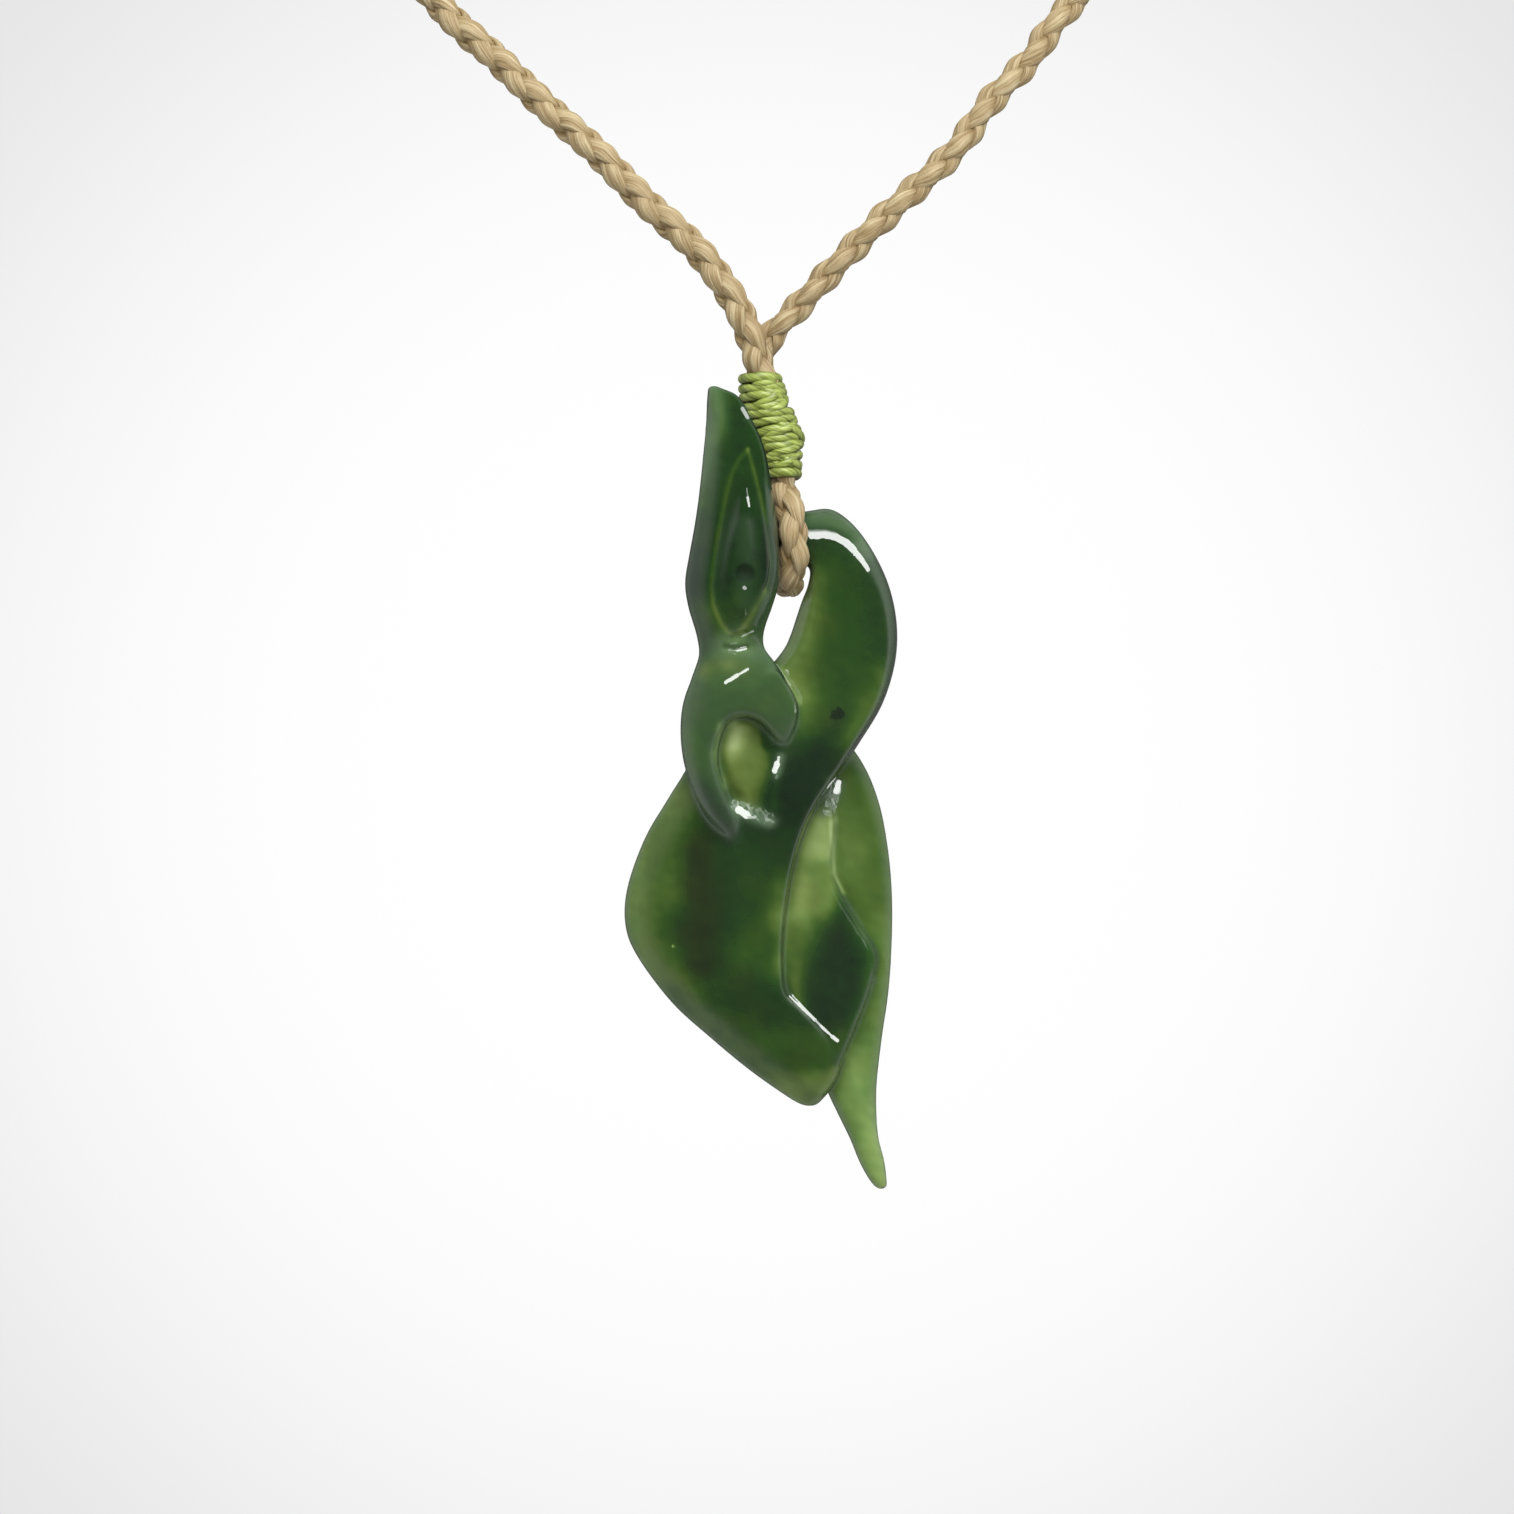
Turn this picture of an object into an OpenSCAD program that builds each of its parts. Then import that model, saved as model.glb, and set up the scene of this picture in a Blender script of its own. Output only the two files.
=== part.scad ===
/* [Carving] */
// Swell of the carving's sections, as a share of the tables' values
fullness = 1; // [0.9:0.05:1.1]
// Sides of each section of the carving
section_sides = 20; // [16:2:24]
// Sections made between two rows of a table
steps_per_row = 3; // [2:1:3]
// Diameter of the pit that is the eye
eye_d = 1.6; // [1.2:0.1:2]

/* [Cord] */
// Diameter of the braided cord
cord_d = 2.5; // [2.2:0.1:2.6]
// Sides of the cord's section
cord_sides = 8; // [8:1:12]
// Greatest distance between two rings of the cord
ring_gap = 9; // [8:1:12]

/* [Binding] */
// Turns of thread in the binding
turns = 11; // [8:1:12]
// Depth of the groove between two turns
turn_groove = 0.25; // [0.1:0.05:0.4]
// Sides of the binding's section
binding_sides = 20; // [16:2:24]

/* [Closure] */
// Length of the closure at the nape
closure_l = 14; // [12:1:20]
// Diameter of the closure
closure_d = 4.8; // [4.4:0.1:6]
// Depth to which each end of the cord goes in
socket_l = 4; // [3:0.5:5]

/* [Hang] */
// Height of the nape above the bar that the cord hangs the carving by
drop = 150; // [140:1:170]
// Distance that the carving hangs in front of the nape
reach = 122; // [115:1:130]

/* [Hidden] */

cord_r = cord_d / 2;
nape_y = closure_d / 2;

// Gap round the cord in the binding's bore and in the closure's sockets
bore_gap = 0.15;

// Half the distance between the cord's two legs inside the binding
leg_y = 1.35;

// Distance that each end of the cord stops short of the bottom of its socket
end_gap = 0.2;

// Steep edge of the closure's ends
closure_edge = 0.8;

rings_per_turn = 4;
bore_rings = 8;

// Length of a carved form's rounded end, as a share of its half size there
end_share = 0.8;

// Columns of a carving row: left edge x and z, right edge x and z, y of the left and the right edge,
// swell to the front and to the back, skew of the swell towards the right edge, squareness of the section
LX = 0;
LZ = 1;
RX = 2;
RZ = 3;
LY = 4;
RY = 5;
FRONT = 6;
BACK = 7;
SKEW = 8;
SQUARE = 9;

// The carving's own frame has z = 0 at the bar's axis and x = 0 under the cord's fork; -y is the front.
// Head, from its tip down to the neck
HEAD = [
    [-5.1, 12.7, -3.9, 12.9, -4.7, -4.7, 0.5, 0.5, 0.0, 2.0],
    [-5.2, 11.9, -2.4, 12.2, -4.7, -4.6, 0.9, 0.8, 0.0, 2.0],
    [-5.3, 10.0, -1.2, 10.2, -4.6, -4.6, 1.3, 1.0, 0.1, 2.0],
    [-5.5, 7.6, -0.1, 7.6, -4.5, -4.6, 1.8, 1.2, 0.1, 2.0],
    [-5.8, 4.4, 0.5, 4.4, -4.4, -4.6, 2.1, 1.4, 0.0, 2.1],
    [-6.2, 1.4, 1.0, 1.4, -4.2, -4.6, 2.3, 1.7, 0.0, 2.2],
    [-6.7, -1.4, 1.2, -1.4, -4.0, -4.7, 2.4, 1.9, 0.0, 2.2],
    [-7.1, -4.0, 1.2, -3.8, -3.9, -4.7, 2.4, 2.0, 0.0, 2.2],
    [-6.8, -6.2, 0.6, -6.0, -3.8, -4.4, 2.2, 2.0, 0.0, 2.1],
    [-6.2, -8.2, -0.1, -8.0, -3.6, -3.8, 1.9, 2.0, 0.0, 2.0],
    [-5.9, -9.8, -0.2, -9.4, -3.4, -3.4, 1.7, 2.1, 0.0, 2.0],
    [-6.0, -11.2, 0.4, -10.8, -3.4, -3.4, 1.8, 2.1, 0.0, 2.0],
    [-6.2, -12.4, 1.0, -12.2, -3.4, -3.4, 1.8, 2.0, 0.0, 2.0],
];

// Raised field on the front of the head, which holds the eye
FIELD = [
    [-1.9, 7.5, -1.5, 7.5, -5.9, -5.9, 0.3, 0.5, 0.0, 2.0],
    [-2.7, 5.6, -1.0, 5.6, -6.0, -5.9, 0.6, 0.8, 0.0, 2.0],
    [-3.6, 2.6, -0.3, 2.6, -6.0, -5.9, 0.9, 1.2, 0.0, 2.0],
    [-4.3, -0.6, 0.3, -0.6, -5.9, -5.8, 1.1, 1.4, 0.0, 2.0],
    [-4.8, -3.6, 0.3, -3.4, -5.7, -5.7, 1.2, 1.4, 0.0, 2.0],
    [-4.4, -6.4, -0.6, -6.0, -5.4, -5.4, 0.9, 1.2, 0.0, 2.0],
    [-3.3, -8.4, -1.9, -8.2, -4.8, -4.8, 0.5, 0.8, 0.0, 2.0],
];

// Curled hook under the neck, from its right tip over the top and down its left arm
HOOK = [
    [1.9, -18.3, 1.6, -18.5, -3.0, -3.0, 0.4, 0.4, 0.0, 2.0],
    [2.4, -17.2, 1.1, -18.1, -3.1, -3.1, 0.9, 1.0, 0.0, 2.0],
    [2.8, -15.8, 0.4, -17.3, -3.2, -3.3, 1.4, 1.5, 0.0, 2.0],
    [2.7, -14.4, -0.3, -16.5, -3.3, -3.4, 1.7, 1.8, 0.0, 2.0],
    [2.0, -12.9, -1.0, -16.0, -3.3, -3.5, 1.9, 2.0, -0.1, 2.0],
    [1.1, -11.5, -1.7, -15.8, -3.3, -3.6, 2.0, 2.2, -0.2, 2.0],
    [-0.2, -10.4, -2.3, -15.8, -3.3, -3.6, 2.1, 2.2, -0.2, 2.0],
    [-3.0, -10.0, -2.8, -15.9, -3.3, -3.6, 2.1, 2.2, -0.2, 2.0],
    [-5.4, -10.8, -3.3, -16.3, -3.2, -3.5, 2.0, 2.2, -0.2, 2.0],
    [-6.6, -12.6, -3.7, -16.9, -3.0, -3.4, 1.9, 2.4, -0.1, 2.0],
    [-7.3, -14.6, -4.0, -17.8, -2.9, -3.2, 1.8, 2.8, 0.0, 2.0],
    [-7.5, -16.6, -4.2, -18.9, -2.8, -3.0, 1.7, 2.9, 0.0, 2.0],
    [-7.4, -18.6, -4.1, -20.1, -2.7, -2.8, 1.6, 2.7, 0.0, 2.0],
    [-7.0, -20.6, -3.7, -21.5, -2.4, -2.6, 1.5, 2.2, 0.0, 2.0],
    [-6.2, -22.7, -3.2, -22.9, -2.1, -2.4, 1.4, 1.6, 0.0, 2.0],
    [-5.2, -24.5, -2.5, -24.2, -1.9, -2.2, 1.2, 1.4, 0.0, 2.0],
    [-4.1, -25.7, -2.3, -25.3, -1.8, -2.0, 0.9, 1.1, 0.0, 2.0],
    [-3.1, -26.5, -2.5, -26.3, -1.8, -1.8, 0.5, 0.6, 0.0, 2.0],
];

// Front ribbon, from the back of the head along the bar, round the loop, over the crossing, down the body
RIBBON = [
    [-4.4, -1.8, -4.4, 1.4, -4.0, -4.0, 0.9, 1.0, 0.0, 2.0],
    [-2.6, -2.4, -2.6, 2.0, -3.3, -3.3, 1.5, 1.5, 0.0, 2.0],
    [-0.6, -2.4, -0.6, 2.3, -2.0, -2.0, 2.0, 1.9, 0.0, 2.0],
    [1.2, -2.3, 1.2, 2.3, -0.5, -0.5, 2.2, 2.2, 0.0, 2.0],
    [2.7, -2.3, 2.7, 2.3, 0.0, 0.0, 2.3, 2.3, 0.0, 2.0],
    [3.9, -2.5, 4.0, 2.5, 0.0, 0.0, 2.3, 2.3, 0.0, 2.0],
    [3.7, -4.0, 5.8, 2.6, 0.0, 0.0, 2.3, 2.3, 0.1, 2.0],
    [3.5, -4.6, 7.8, 1.1, 0.0, 0.0, 2.4, 2.3, 0.2, 2.1],
    [3.1, -5.5, 9.6, -1.5, 0.0, 0.0, 2.4, 2.3, 0.3, 2.2],
    [2.6, -7.0, 10.9, -4.5, 0.1, 0.0, 2.4, 2.3, 0.3, 2.2],
    [2.1, -8.5, 11.5, -7.8, 0.1, 0.0, 2.4, 2.3, 0.3, 2.2],
    [1.4, -9.9, 11.3, -11.1, 0.0, 0.0, 2.4, 2.3, 0.3, 2.2],
    [-0.2, -11.6, 10.2, -14.6, -0.2, 0.0, 2.4, 2.4, 0.3, 2.1],
    [-3.6, -13.6, 8.3, -17.8, -1.1, -0.1, 2.4, 2.4, 0.4, 2.0],
    [-6.0, -16.4, 6.3, -20.8, -1.2, -0.3, 2.3, 2.3, 0.5, 2.0],
    [-6.8, -19.6, 4.7, -23.1, -0.6, -0.7, 2.2, 2.3, 0.5, 2.0],
    [-8.7, -22.9, 3.4, -25.7, 0.7, -0.5, 2.2, 2.4, 0.3, 2.0],
    [-10.6, -26.4, 2.5, -28.7, 1.1, -0.3, 2.1, 2.6, 0.2, 2.1],
    [-12.1, -30.7, 1.9, -32.0, 1.2, -0.3, 2.0, 2.7, 0.1, 2.2],
    [-12.4, -34.0, 1.6, -35.2, 1.2, -0.3, 2.0, 2.8, 0.1, 2.2],
    [-11.3, -36.8, 1.6, -38.0, 1.2, -0.3, 2.0, 2.8, 0.1, 2.2],
    [-8.3, -40.8, 1.9, -39.9, 1.2, -0.3, 2.0, 2.7, 0.1, 2.2],
    [-4.9, -43.9, 3.1, -41.1, 1.2, -0.2, 1.9, 2.5, 0.0, 2.2],
    [-1.4, -46.8, 4.7, -42.7, 1.2, 0.0, 1.8, 2.1, 0.0, 2.2],
    [2.0, -49.2, 6.0, -44.6, 1.2, 0.5, 1.7, 1.6, 0.0, 2.1],
    [3.1, -49.8, 6.3, -46.7, 1.2, 1.0, 1.4, 1.3, 0.0, 2.0],
    [3.9, -49.9, 5.9, -47.9, 1.2, 1.1, 1.1, 1.0, 0.0, 2.0],
    [4.6, -49.5, 5.5, -48.8, 1.2, 1.2, 0.6, 0.6, 0.0, 2.0],
];

// Sheet that dips under the front ribbon and ends in the right lobe
LOBE = [
    [2.4, -21.8, 5.6, -21.8, 1.6, 1.8, 1.0, 1.0, 0.0, 2.0],
    [0.6, -25.3, 6.1, -25.0, 1.7, 1.9, 1.1, 1.1, 0.0, 2.0],
    [-0.6, -28.6, 5.9, -28.6, 1.7, 1.9, 1.1, 1.2, 0.0, 2.0],
    [-1.0, -31.4, 6.7, -31.3, 1.6, 1.7, 1.2, 1.4, 0.1, 2.0],
    [-1.2, -34.0, 8.3, -33.9, 1.5, 1.4, 1.4, 1.7, 0.1, 2.1],
    [-1.0, -36.0, 9.5, -35.8, 1.4, 1.2, 1.6, 1.9, 0.1, 2.2],
    [-0.8, -37.4, 9.8, -37.2, 1.3, 1.1, 1.7, 2.0, 0.1, 2.2],
    [-0.5, -40.0, 9.1, -40.0, 1.2, 1.0, 1.8, 2.0, 0.1, 2.2],
    [0.2, -43.3, 7.8, -43.3, 1.1, 0.9, 1.8, 2.0, 0.1, 2.2],
    [1.4, -45.6, 6.9, -45.5, 1.1, 0.9, 1.7, 1.8, 0.0, 2.1],
    [2.4, -47.4, 6.0, -47.1, 1.1, 1.0, 1.3, 1.4, 0.0, 2.0],
    [3.1, -48.5, 5.3, -48.2, 1.1, 1.1, 0.8, 0.8, 0.0, 2.0],
];

// Back ribbon, from the neck behind the crossing to the tip of the tail
TAIL = [
    [-4.9, -11.0, -1.2, -10.0, -3.0, -3.0, 1.2, 1.4, 0.0, 2.0],
    [-5.3, -12.8, 0.9, -11.3, -1.6, -1.6, 1.6, 1.5, 0.0, 2.0],
    [-4.4, -15.8, 3.2, -13.4, 0.2, 0.2, 1.8, 1.5, 0.0, 2.0],
    [-1.8, -19.8, 6.2, -16.8, 2.3, 2.3, 1.6, 1.5, 0.0, 2.0],
    [1.4, -23.2, 8.4, -19.8, 3.3, 3.3, 1.4, 1.4, 0.0, 2.0],
    [3.5, -26.2, 9.8, -23.1, 3.4, 3.4, 1.3, 1.3, 0.0, 2.0],
    [4.5, -29.2, 10.6, -26.8, 3.3, 3.3, 1.2, 1.2, 0.0, 2.0],
    [5.1, -32.6, 11.0, -31.0, 3.3, 3.2, 1.2, 1.2, 0.0, 2.0],
    [5.2, -36.4, 11.0, -35.5, 3.3, 3.1, 1.2, 1.2, 0.0, 2.0],
    [5.0, -40.4, 10.7, -39.9, 3.2, 3.0, 1.2, 1.2, 0.0, 2.0],
    [4.8, -44.4, 10.1, -44.3, 3.0, 2.8, 1.2, 1.2, 0.0, 2.0],
    [5.2, -48.1, 9.7, -48.1, 2.7, 2.6, 1.2, 1.2, 0.0, 2.0],
    [6.2, -50.5, 9.8, -50.7, 2.5, 2.5, 1.1, 1.1, 0.0, 2.0],
    [7.3, -52.8, 10.0, -52.8, 2.3, 2.3, 0.9, 0.9, 0.0, 2.0],
    [8.3, -54.8, 10.4, -54.7, 2.2, 2.2, 0.8, 0.8, 0.0, 2.0],
    [9.3, -56.2, 10.5, -56.2, 2.1, 2.1, 0.6, 0.6, 0.0, 2.0],
    [9.8, -56.8, 10.6, -56.7, 2.1, 2.1, 0.4, 0.4, 0.0, 2.0],
];

// Where the eye's pit is centred in the carving's frame
EYE = [-1.8, -7.1, -3.4];

// Route of the cord in the carving's frame: left leg of the fork, binding, round the bar, back to the right
FORK = [
    [-28.7, 6.0, 47.2],
    [-24.1, 4.2, 42.8],
    [-19.7, 2.6, 38.4],
    [-14.9, 1.2, 34.0],
    [-10.7, 0.2, 29.6],
    [-6.1, -0.6, 25.3],
    [-2.9, -1.1, 20.9],
    [-1.3, -1.3, 17.6],
    [-0.2, -leg_y, 14.6],
    [0.1, -leg_y, 12.0],
    [0.5, -leg_y, 10.0],
    [0.9, -leg_y, 8.0],
    [1.2, -leg_y, 6.2],
    [1.5, -leg_y, 4.4],
    [2.0, -2.7, 3.2],
    [2.5, -3.6, 1.8],
    [2.7, -4.0, 0.0],
    [2.5, -3.5, -2.0],
    [2.2, -2.0, -3.5],
    [1.9, 0.0, -4.0],
    [1.8, 2.0, -3.5],
    [1.8, 3.5, -2.0],
    [1.8, 4.0, 0.0],
    [1.8, 3.6, 1.8],
    [1.7, 2.7, 3.2],
    [1.5, leg_y, 4.4],
    [1.2, leg_y, 6.2],
    [0.9, leg_y, 8.0],
    [0.5, leg_y, 10.0],
    [0.1, leg_y, 12.0],
    [-0.2, leg_y, 14.6],
    [0.4, 1.3, 17.6],
    [2.5, 1.2, 20.0],
    [6.1, 1.0, 23.9],
    [10.0, 1.2, 27.9],
    [16.4, 2.4, 34.0],
    [19.6, 3.4, 38.4],
    [23.6, 4.6, 42.8],
    [26.8, 6.0, 47.2],
];

// Route of the cord round the right side of the neck, from the fork up to the closure, in the whole frame
NECK = [
    [39, -109, -90],
    [50, -98, -76],
    [59, -82, -61],
    [65, -63, -45],
    [66, -43, -30],
    [60, -25, -18],
    [48, -11, -9],
    [32, -2, -3],
    [18, 2, 0],
];

// Columns of a binding row: z, x of its axis, half width and half depth
BINDING = [
    [4.9, 1.4, 1.75, 3.1],
    [5.7, 1.3, 1.85, 3.15],
    [7.0, 1.1, 2.1, 3.25],
    [7.8, 0.95, 2.45, 3.4],
    [9.5, 0.6, 2.5, 3.45],
    [11.5, 0.2, 2.45, 3.4],
    [13.2, 0.0, 2.25, 3.2],
    [14.5, -0.2, 1.95, 3.0],
];

function signed_power(v, p) = sign(v) * pow(abs(v), p);

function unit(v) = v / norm(v);

// Point between b and c on the smooth curve through a, b, c and d
function smooth_point(a, b, c, d, t) =
    (2 * b + (c - a) * t + (2 * a - 5 * b + 4 * c - d) * t * t + (3 * b - a - 3 * c + d) * t * t * t) / 2;

// Rows of a table with n steps from each row to the next
function smooth_rows(rows, n) = [
    for (i = [0 : len(rows) - 2], j = [0 : n - 1])
        smooth_point(rows[max(i - 1, 0)], rows[i], rows[i + 1], rows[min(i + 2, len(rows) - 1)], j / n),
    rows[len(rows) - 1],
];

// Lens-shaped section of the carving between a row's left and right edge
function lens(row) = [
    for (i = [0 : section_sides - 1])
        let (
            a = 360 * i / section_sides,
            u = signed_power(cos(a), 2 / row[SQUARE]),
            v = signed_power(sin(a), 2 / row[SQUARE]),
            swell = fullness * (v < 0 ? row[FRONT] : row[BACK]) * (1 + row[SKEW] * u)
        )
        [
            (row[LX] * (1 - u) + row[RX] * (1 + u)) / 2,
            (row[LY] * (1 - u) + row[RY] * (1 + u)) / 2 + v * swell,
            (row[LZ] * (1 - u) + row[RZ] * (1 + u)) / 2,
        ],
];

// Two triangles for each side between ring i and ring j, of n points each
function band_faces(i, j, n) = [
    for (k = [0 : n - 1], half = [0, 1])
        let (m = (k + 1) % n)
        half == 0 ? [i * n + k, i * n + m, j * n + m] : [i * n + k, j * n + m, j * n + k],
];

// Solid through a list of rings, with a flat face at each end
module skin(rings) {
    n = len(rings[0]);
    last = len(rings) - 1;
    polyhedron(
        points = [for (ring = rings) each ring],
        faces = [
            for (i = [0 : last - 1]) each band_faces(i, i + 1, n),
            [for (k = [n - 1 : -1 : 0]) k],
            [for (k = [0 : n - 1]) last * n + k],
        ]
    );
}

// Ring shrunk about the middle of its edge-to-edge line and moved
function shrunk(ring, share, move) =
    let (middle = (ring[0] + ring[len(ring) / 2]) / 2)
    [for (p = ring) middle + share * (p - middle) + move];

// Rounded end of a carved form beyond its last ring, away from the ring before it
module round_end(ring, before) {
    half = len(ring) / 2;
    out = unit(ring[0] + ring[half] - before[0] - before[half]);
    length = end_share * min(norm(ring[0] - ring[half]), norm(ring[half / 2] - ring[half + half / 2])) / 2;
    hull() skin([
        shrunk(ring, 0.98, -0.2 * length * out),
        shrunk(ring, 0.97, 0.1 * length * out),
        shrunk(ring, 0.85, 0.5 * length * out),
        shrunk(ring, 0.45, length * out),
    ]);
}

// One carved form, from the rows of its table
module carved(rows) {
    rings = [for (row = smooth_rows(rows, steps_per_row)) lens(row)];
    last = len(rings) - 1;
    skin(rings);
    round_end(rings[0], rings[1]);
    round_end(rings[last], rings[last - 1]);
}

// The whole carving, one stone, hung where the cord holds it
module manaia() {
    color("darkgreen") translate([0, -reach, -drop]) difference() {
        union() {
            carved(HEAD);
            carved(FIELD);
            carved(HOOK);
            carved(RIBBON);
            carved(LOBE);
            carved(TAIL);
        }
        translate(EYE) sphere(d = eye_d, $fn = 20);
    }
}

// Points of the cord's whole route, from the closure's left end round to its right end
closure_end = closure_l / 2 - socket_l + end_gap;
half_neck = [for (p = NECK) p, [closure_l / 2 + 2, nape_y, 0], [closure_end, nape_y, 0]];
route = [
    for (i = [len(half_neck) - 1 : -1 : 0]) [-half_neck[i].x, half_neck[i].y, half_neck[i].z],
    for (p = FORK) p + [0, -reach, -drop],
    for (p = half_neck) p,
];

// Steps that the route takes from point i to the next, so that no two rings are too far apart
function steps_at(i) = max(1, ceil(norm(route[i + 1] - route[i]) / ring_gap));

path = [
    for (i = [0 : len(route) - 2])
        let (n = steps_at(i))
        for (j = [0 : n - 1])
            smooth_point(
                route[max(i - 1, 0)], route[i], route[i + 1], route[min(i + 2, len(route) - 1)], j / n
            ),
    route[len(route) - 1],
];

// Direction of the path at each of its points
tangents = [
    for (i = [0 : len(path) - 1])
        unit(path[min(i + 1, len(path) - 1)] - path[max(i - 1, 0)]),
];

// Side direction at each point, carried along the path without twist
sides = [
    for (i = 0, s = [0, 0, 1]; i < len(path);
         i = i + 1, s = i < len(path) ? unit(s - (s * tangents[i]) * tangents[i]) : s)
        unit(s - (s * tangents[i]) * tangents[i]),
];

// Plain tube that stands for the braid
module cord() {
    color("tan") skin([
        for (i = [0 : len(path) - 1])
            [
                for (k = [0 : cord_sides - 1])
                    let (a = -360 * k / cord_sides)
                    path[i] + cord_r * (cos(a) * sides[i] + sin(a) * cross(tangents[i], sides[i])),
            ],
    ]);
}

// Ring of the binding at one row, grown by a share of a turn's groove
function binding_ring(row, half_w, half_d, square) = [
    for (k = [0 : binding_sides - 1])
        let (a = 360 * k / binding_sides)
        [
            row[1] + half_w * signed_power(cos(a), 2 / square),
            half_d * signed_power(sin(a), 2 / square),
            row[0],
        ],
];

binding_rings = turns * rings_per_turn;

// Row of the binding's table at a share s of its height
function binding_row(s) =
    let (
        last = len(BINDING) - 1,
        z = BINDING[0][0] + s * (BINDING[last][0] - BINDING[0][0])
    )
    [for (c = [0 : 3]) lookup(z, [for (row = BINDING) [row[0], row[c]]])];

// Turns of thread wound round both legs of the cord, as one ribbed sleeve
module binding() {
    outer = [
        for (i = [0 : binding_rings])
            let (
                row = binding_row(i / binding_rings),
                groove = turn_groove * (1 - abs(sin(180 * i / rings_per_turn)))
            )
            binding_ring(row, row[2] - groove, row[3] - groove, 2.3),
    ];
    bore = [
        for (i = [bore_rings : -1 : 0])
            binding_ring(binding_row(i / bore_rings), cord_r + bore_gap, leg_y + cord_r + bore_gap, 3),
    ];
    rings = concat(outer, bore);
    color("yellowgreen") translate([0, -reach, -drop]) polyhedron(
        points = [for (ring = rings) each ring],
        faces = [
            for (i = [0 : len(rings) - 1]) each band_faces((i + 1) % len(rings), i, binding_sides),
        ]
    );
}

// Hidden closure at the nape, a plain barrel with a socket for each end of the cord
module closure() {
    color("sienna") translate([0, nape_y, 0]) rotate([0, 90, 0]) difference() {
        rotate_extrude() polygon([
            [0, -closure_l / 2],
            [closure_d / 2 - closure_edge, -closure_l / 2],
            [closure_d / 2, -closure_l / 2 + closure_edge],
            [closure_d / 2, closure_l / 2 - closure_edge],
            [closure_d / 2 - closure_edge, closure_l / 2],
            [0, closure_l / 2],
        ]);
        for (end = [-1, 1])
            translate([0, 0, end * closure_l / 2])
                cylinder(r = cord_r + bore_gap, h = 2 * socket_l, center = true, $fn = 48);
    }
}

manaia();
cord();
binding();
closure();
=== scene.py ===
"""Looks of the jade manaia pendant: polished carving, four-strand braid, wound thread and wooden closure."""

import math

import bmesh
import bpy
import numpy as np
import openvdb as vdb
from mathutils import Matrix, Vector


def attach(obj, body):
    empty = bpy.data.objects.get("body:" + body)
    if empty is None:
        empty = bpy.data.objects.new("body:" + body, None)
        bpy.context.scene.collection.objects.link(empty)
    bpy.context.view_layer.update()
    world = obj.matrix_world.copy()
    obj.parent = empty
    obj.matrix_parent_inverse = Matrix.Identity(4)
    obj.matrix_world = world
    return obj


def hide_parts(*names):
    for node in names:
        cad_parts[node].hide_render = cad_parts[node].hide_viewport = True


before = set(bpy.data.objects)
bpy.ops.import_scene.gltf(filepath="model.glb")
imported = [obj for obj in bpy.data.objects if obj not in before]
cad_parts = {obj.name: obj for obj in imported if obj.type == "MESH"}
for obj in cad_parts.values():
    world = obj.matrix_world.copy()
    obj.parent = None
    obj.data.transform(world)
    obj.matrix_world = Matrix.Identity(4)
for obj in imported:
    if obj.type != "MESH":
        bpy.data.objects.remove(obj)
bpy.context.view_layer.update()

MM = 0.001
HANG = np.array([0.0, -122.0, -150.0])  # the bar's axis in the whole frame, in mm

# Rows of the carving, close to the CAD's: left edge x and z, right edge x and z, y of the left and the right
# edge, swell to the front and to the back, all in mm, and where it has one, skew of the swell to the right
HEAD = [
    (-5.1, 12.7, -3.9, 12.9, -4.7, -4.7, 1.1, 0.6),
    (-5.2, 11.9, -2.4, 12.2, -4.7, -4.6, 1.2, 0.8),
    (-5.3, 10, -1.2, 10.2, -4.6, -4.6, 1.4, 1, 0.1),
    (-5.5, 7.6, -0.1, 7.6, -4.5, -4.6, 1.8, 1.2, 0.1),
    (-5.8, 4.4, 0.5, 4.4, -4.4, -4.6, 2.1, 1.4),
    (-6.2, 1.4, 1, 1.4, -4.2, -4.6, 2.3, 1.7),
    (-6.7, -1.4, 1.2, -1.4, -4, -4.7, 2.4, 1.9),
    (-7.1, -4, 1.2, -3.8, -3.9, -4.7, 2.4, 2),
    (-6.8, -6.2, 0.6, -6, -3.8, -4.4, 2.2, 2),
    (-6.2, -8.2, -0.1, -8, -3.6, -3.8, 1.9, 2),
    (-5.9, -9.8, -0.2, -9.4, -3.4, -3.4, 1.3, 2.1),
    (-6, -11.2, 0.4, -10.8, -3.4, -3.4, 0.8, 2.1),
    (-6.2, -12.4, 1, -12.2, -3.4, -3.4, 0.4, 2),
]
FIELD = [
    (-1.9, 4.9, -1.5, 4.9, -5.9, -5.9, 0.35, 0.5),
    (-2.3, 4.2, -1.2, 4.2, -5.9, -5.9, 0.7, 0.8),
    (-2.8, 3.3, -1, 3.3, -5.9, -5.9, 1.15, 1),
    (-3.2, 2.4, -0.8, 2.4, -5.9, -5.9, 1.5, 1.2),
    (-4, -0.6, -0.4, -0.6, -5.8, -5.8, 1.55, 1.4),
    (-4.4, -3.6, -0.3, -3.2, -5.6, -5.6, 1.45, 1.4),
    (-4.1, -5.8, -0.9, -5.4, -5.4, -5.4, 1.05, 1.2),
    (-3.3, -7.6, -2.1, -7.2, -4.9, -4.9, 0.6, 0.8),
]
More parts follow.
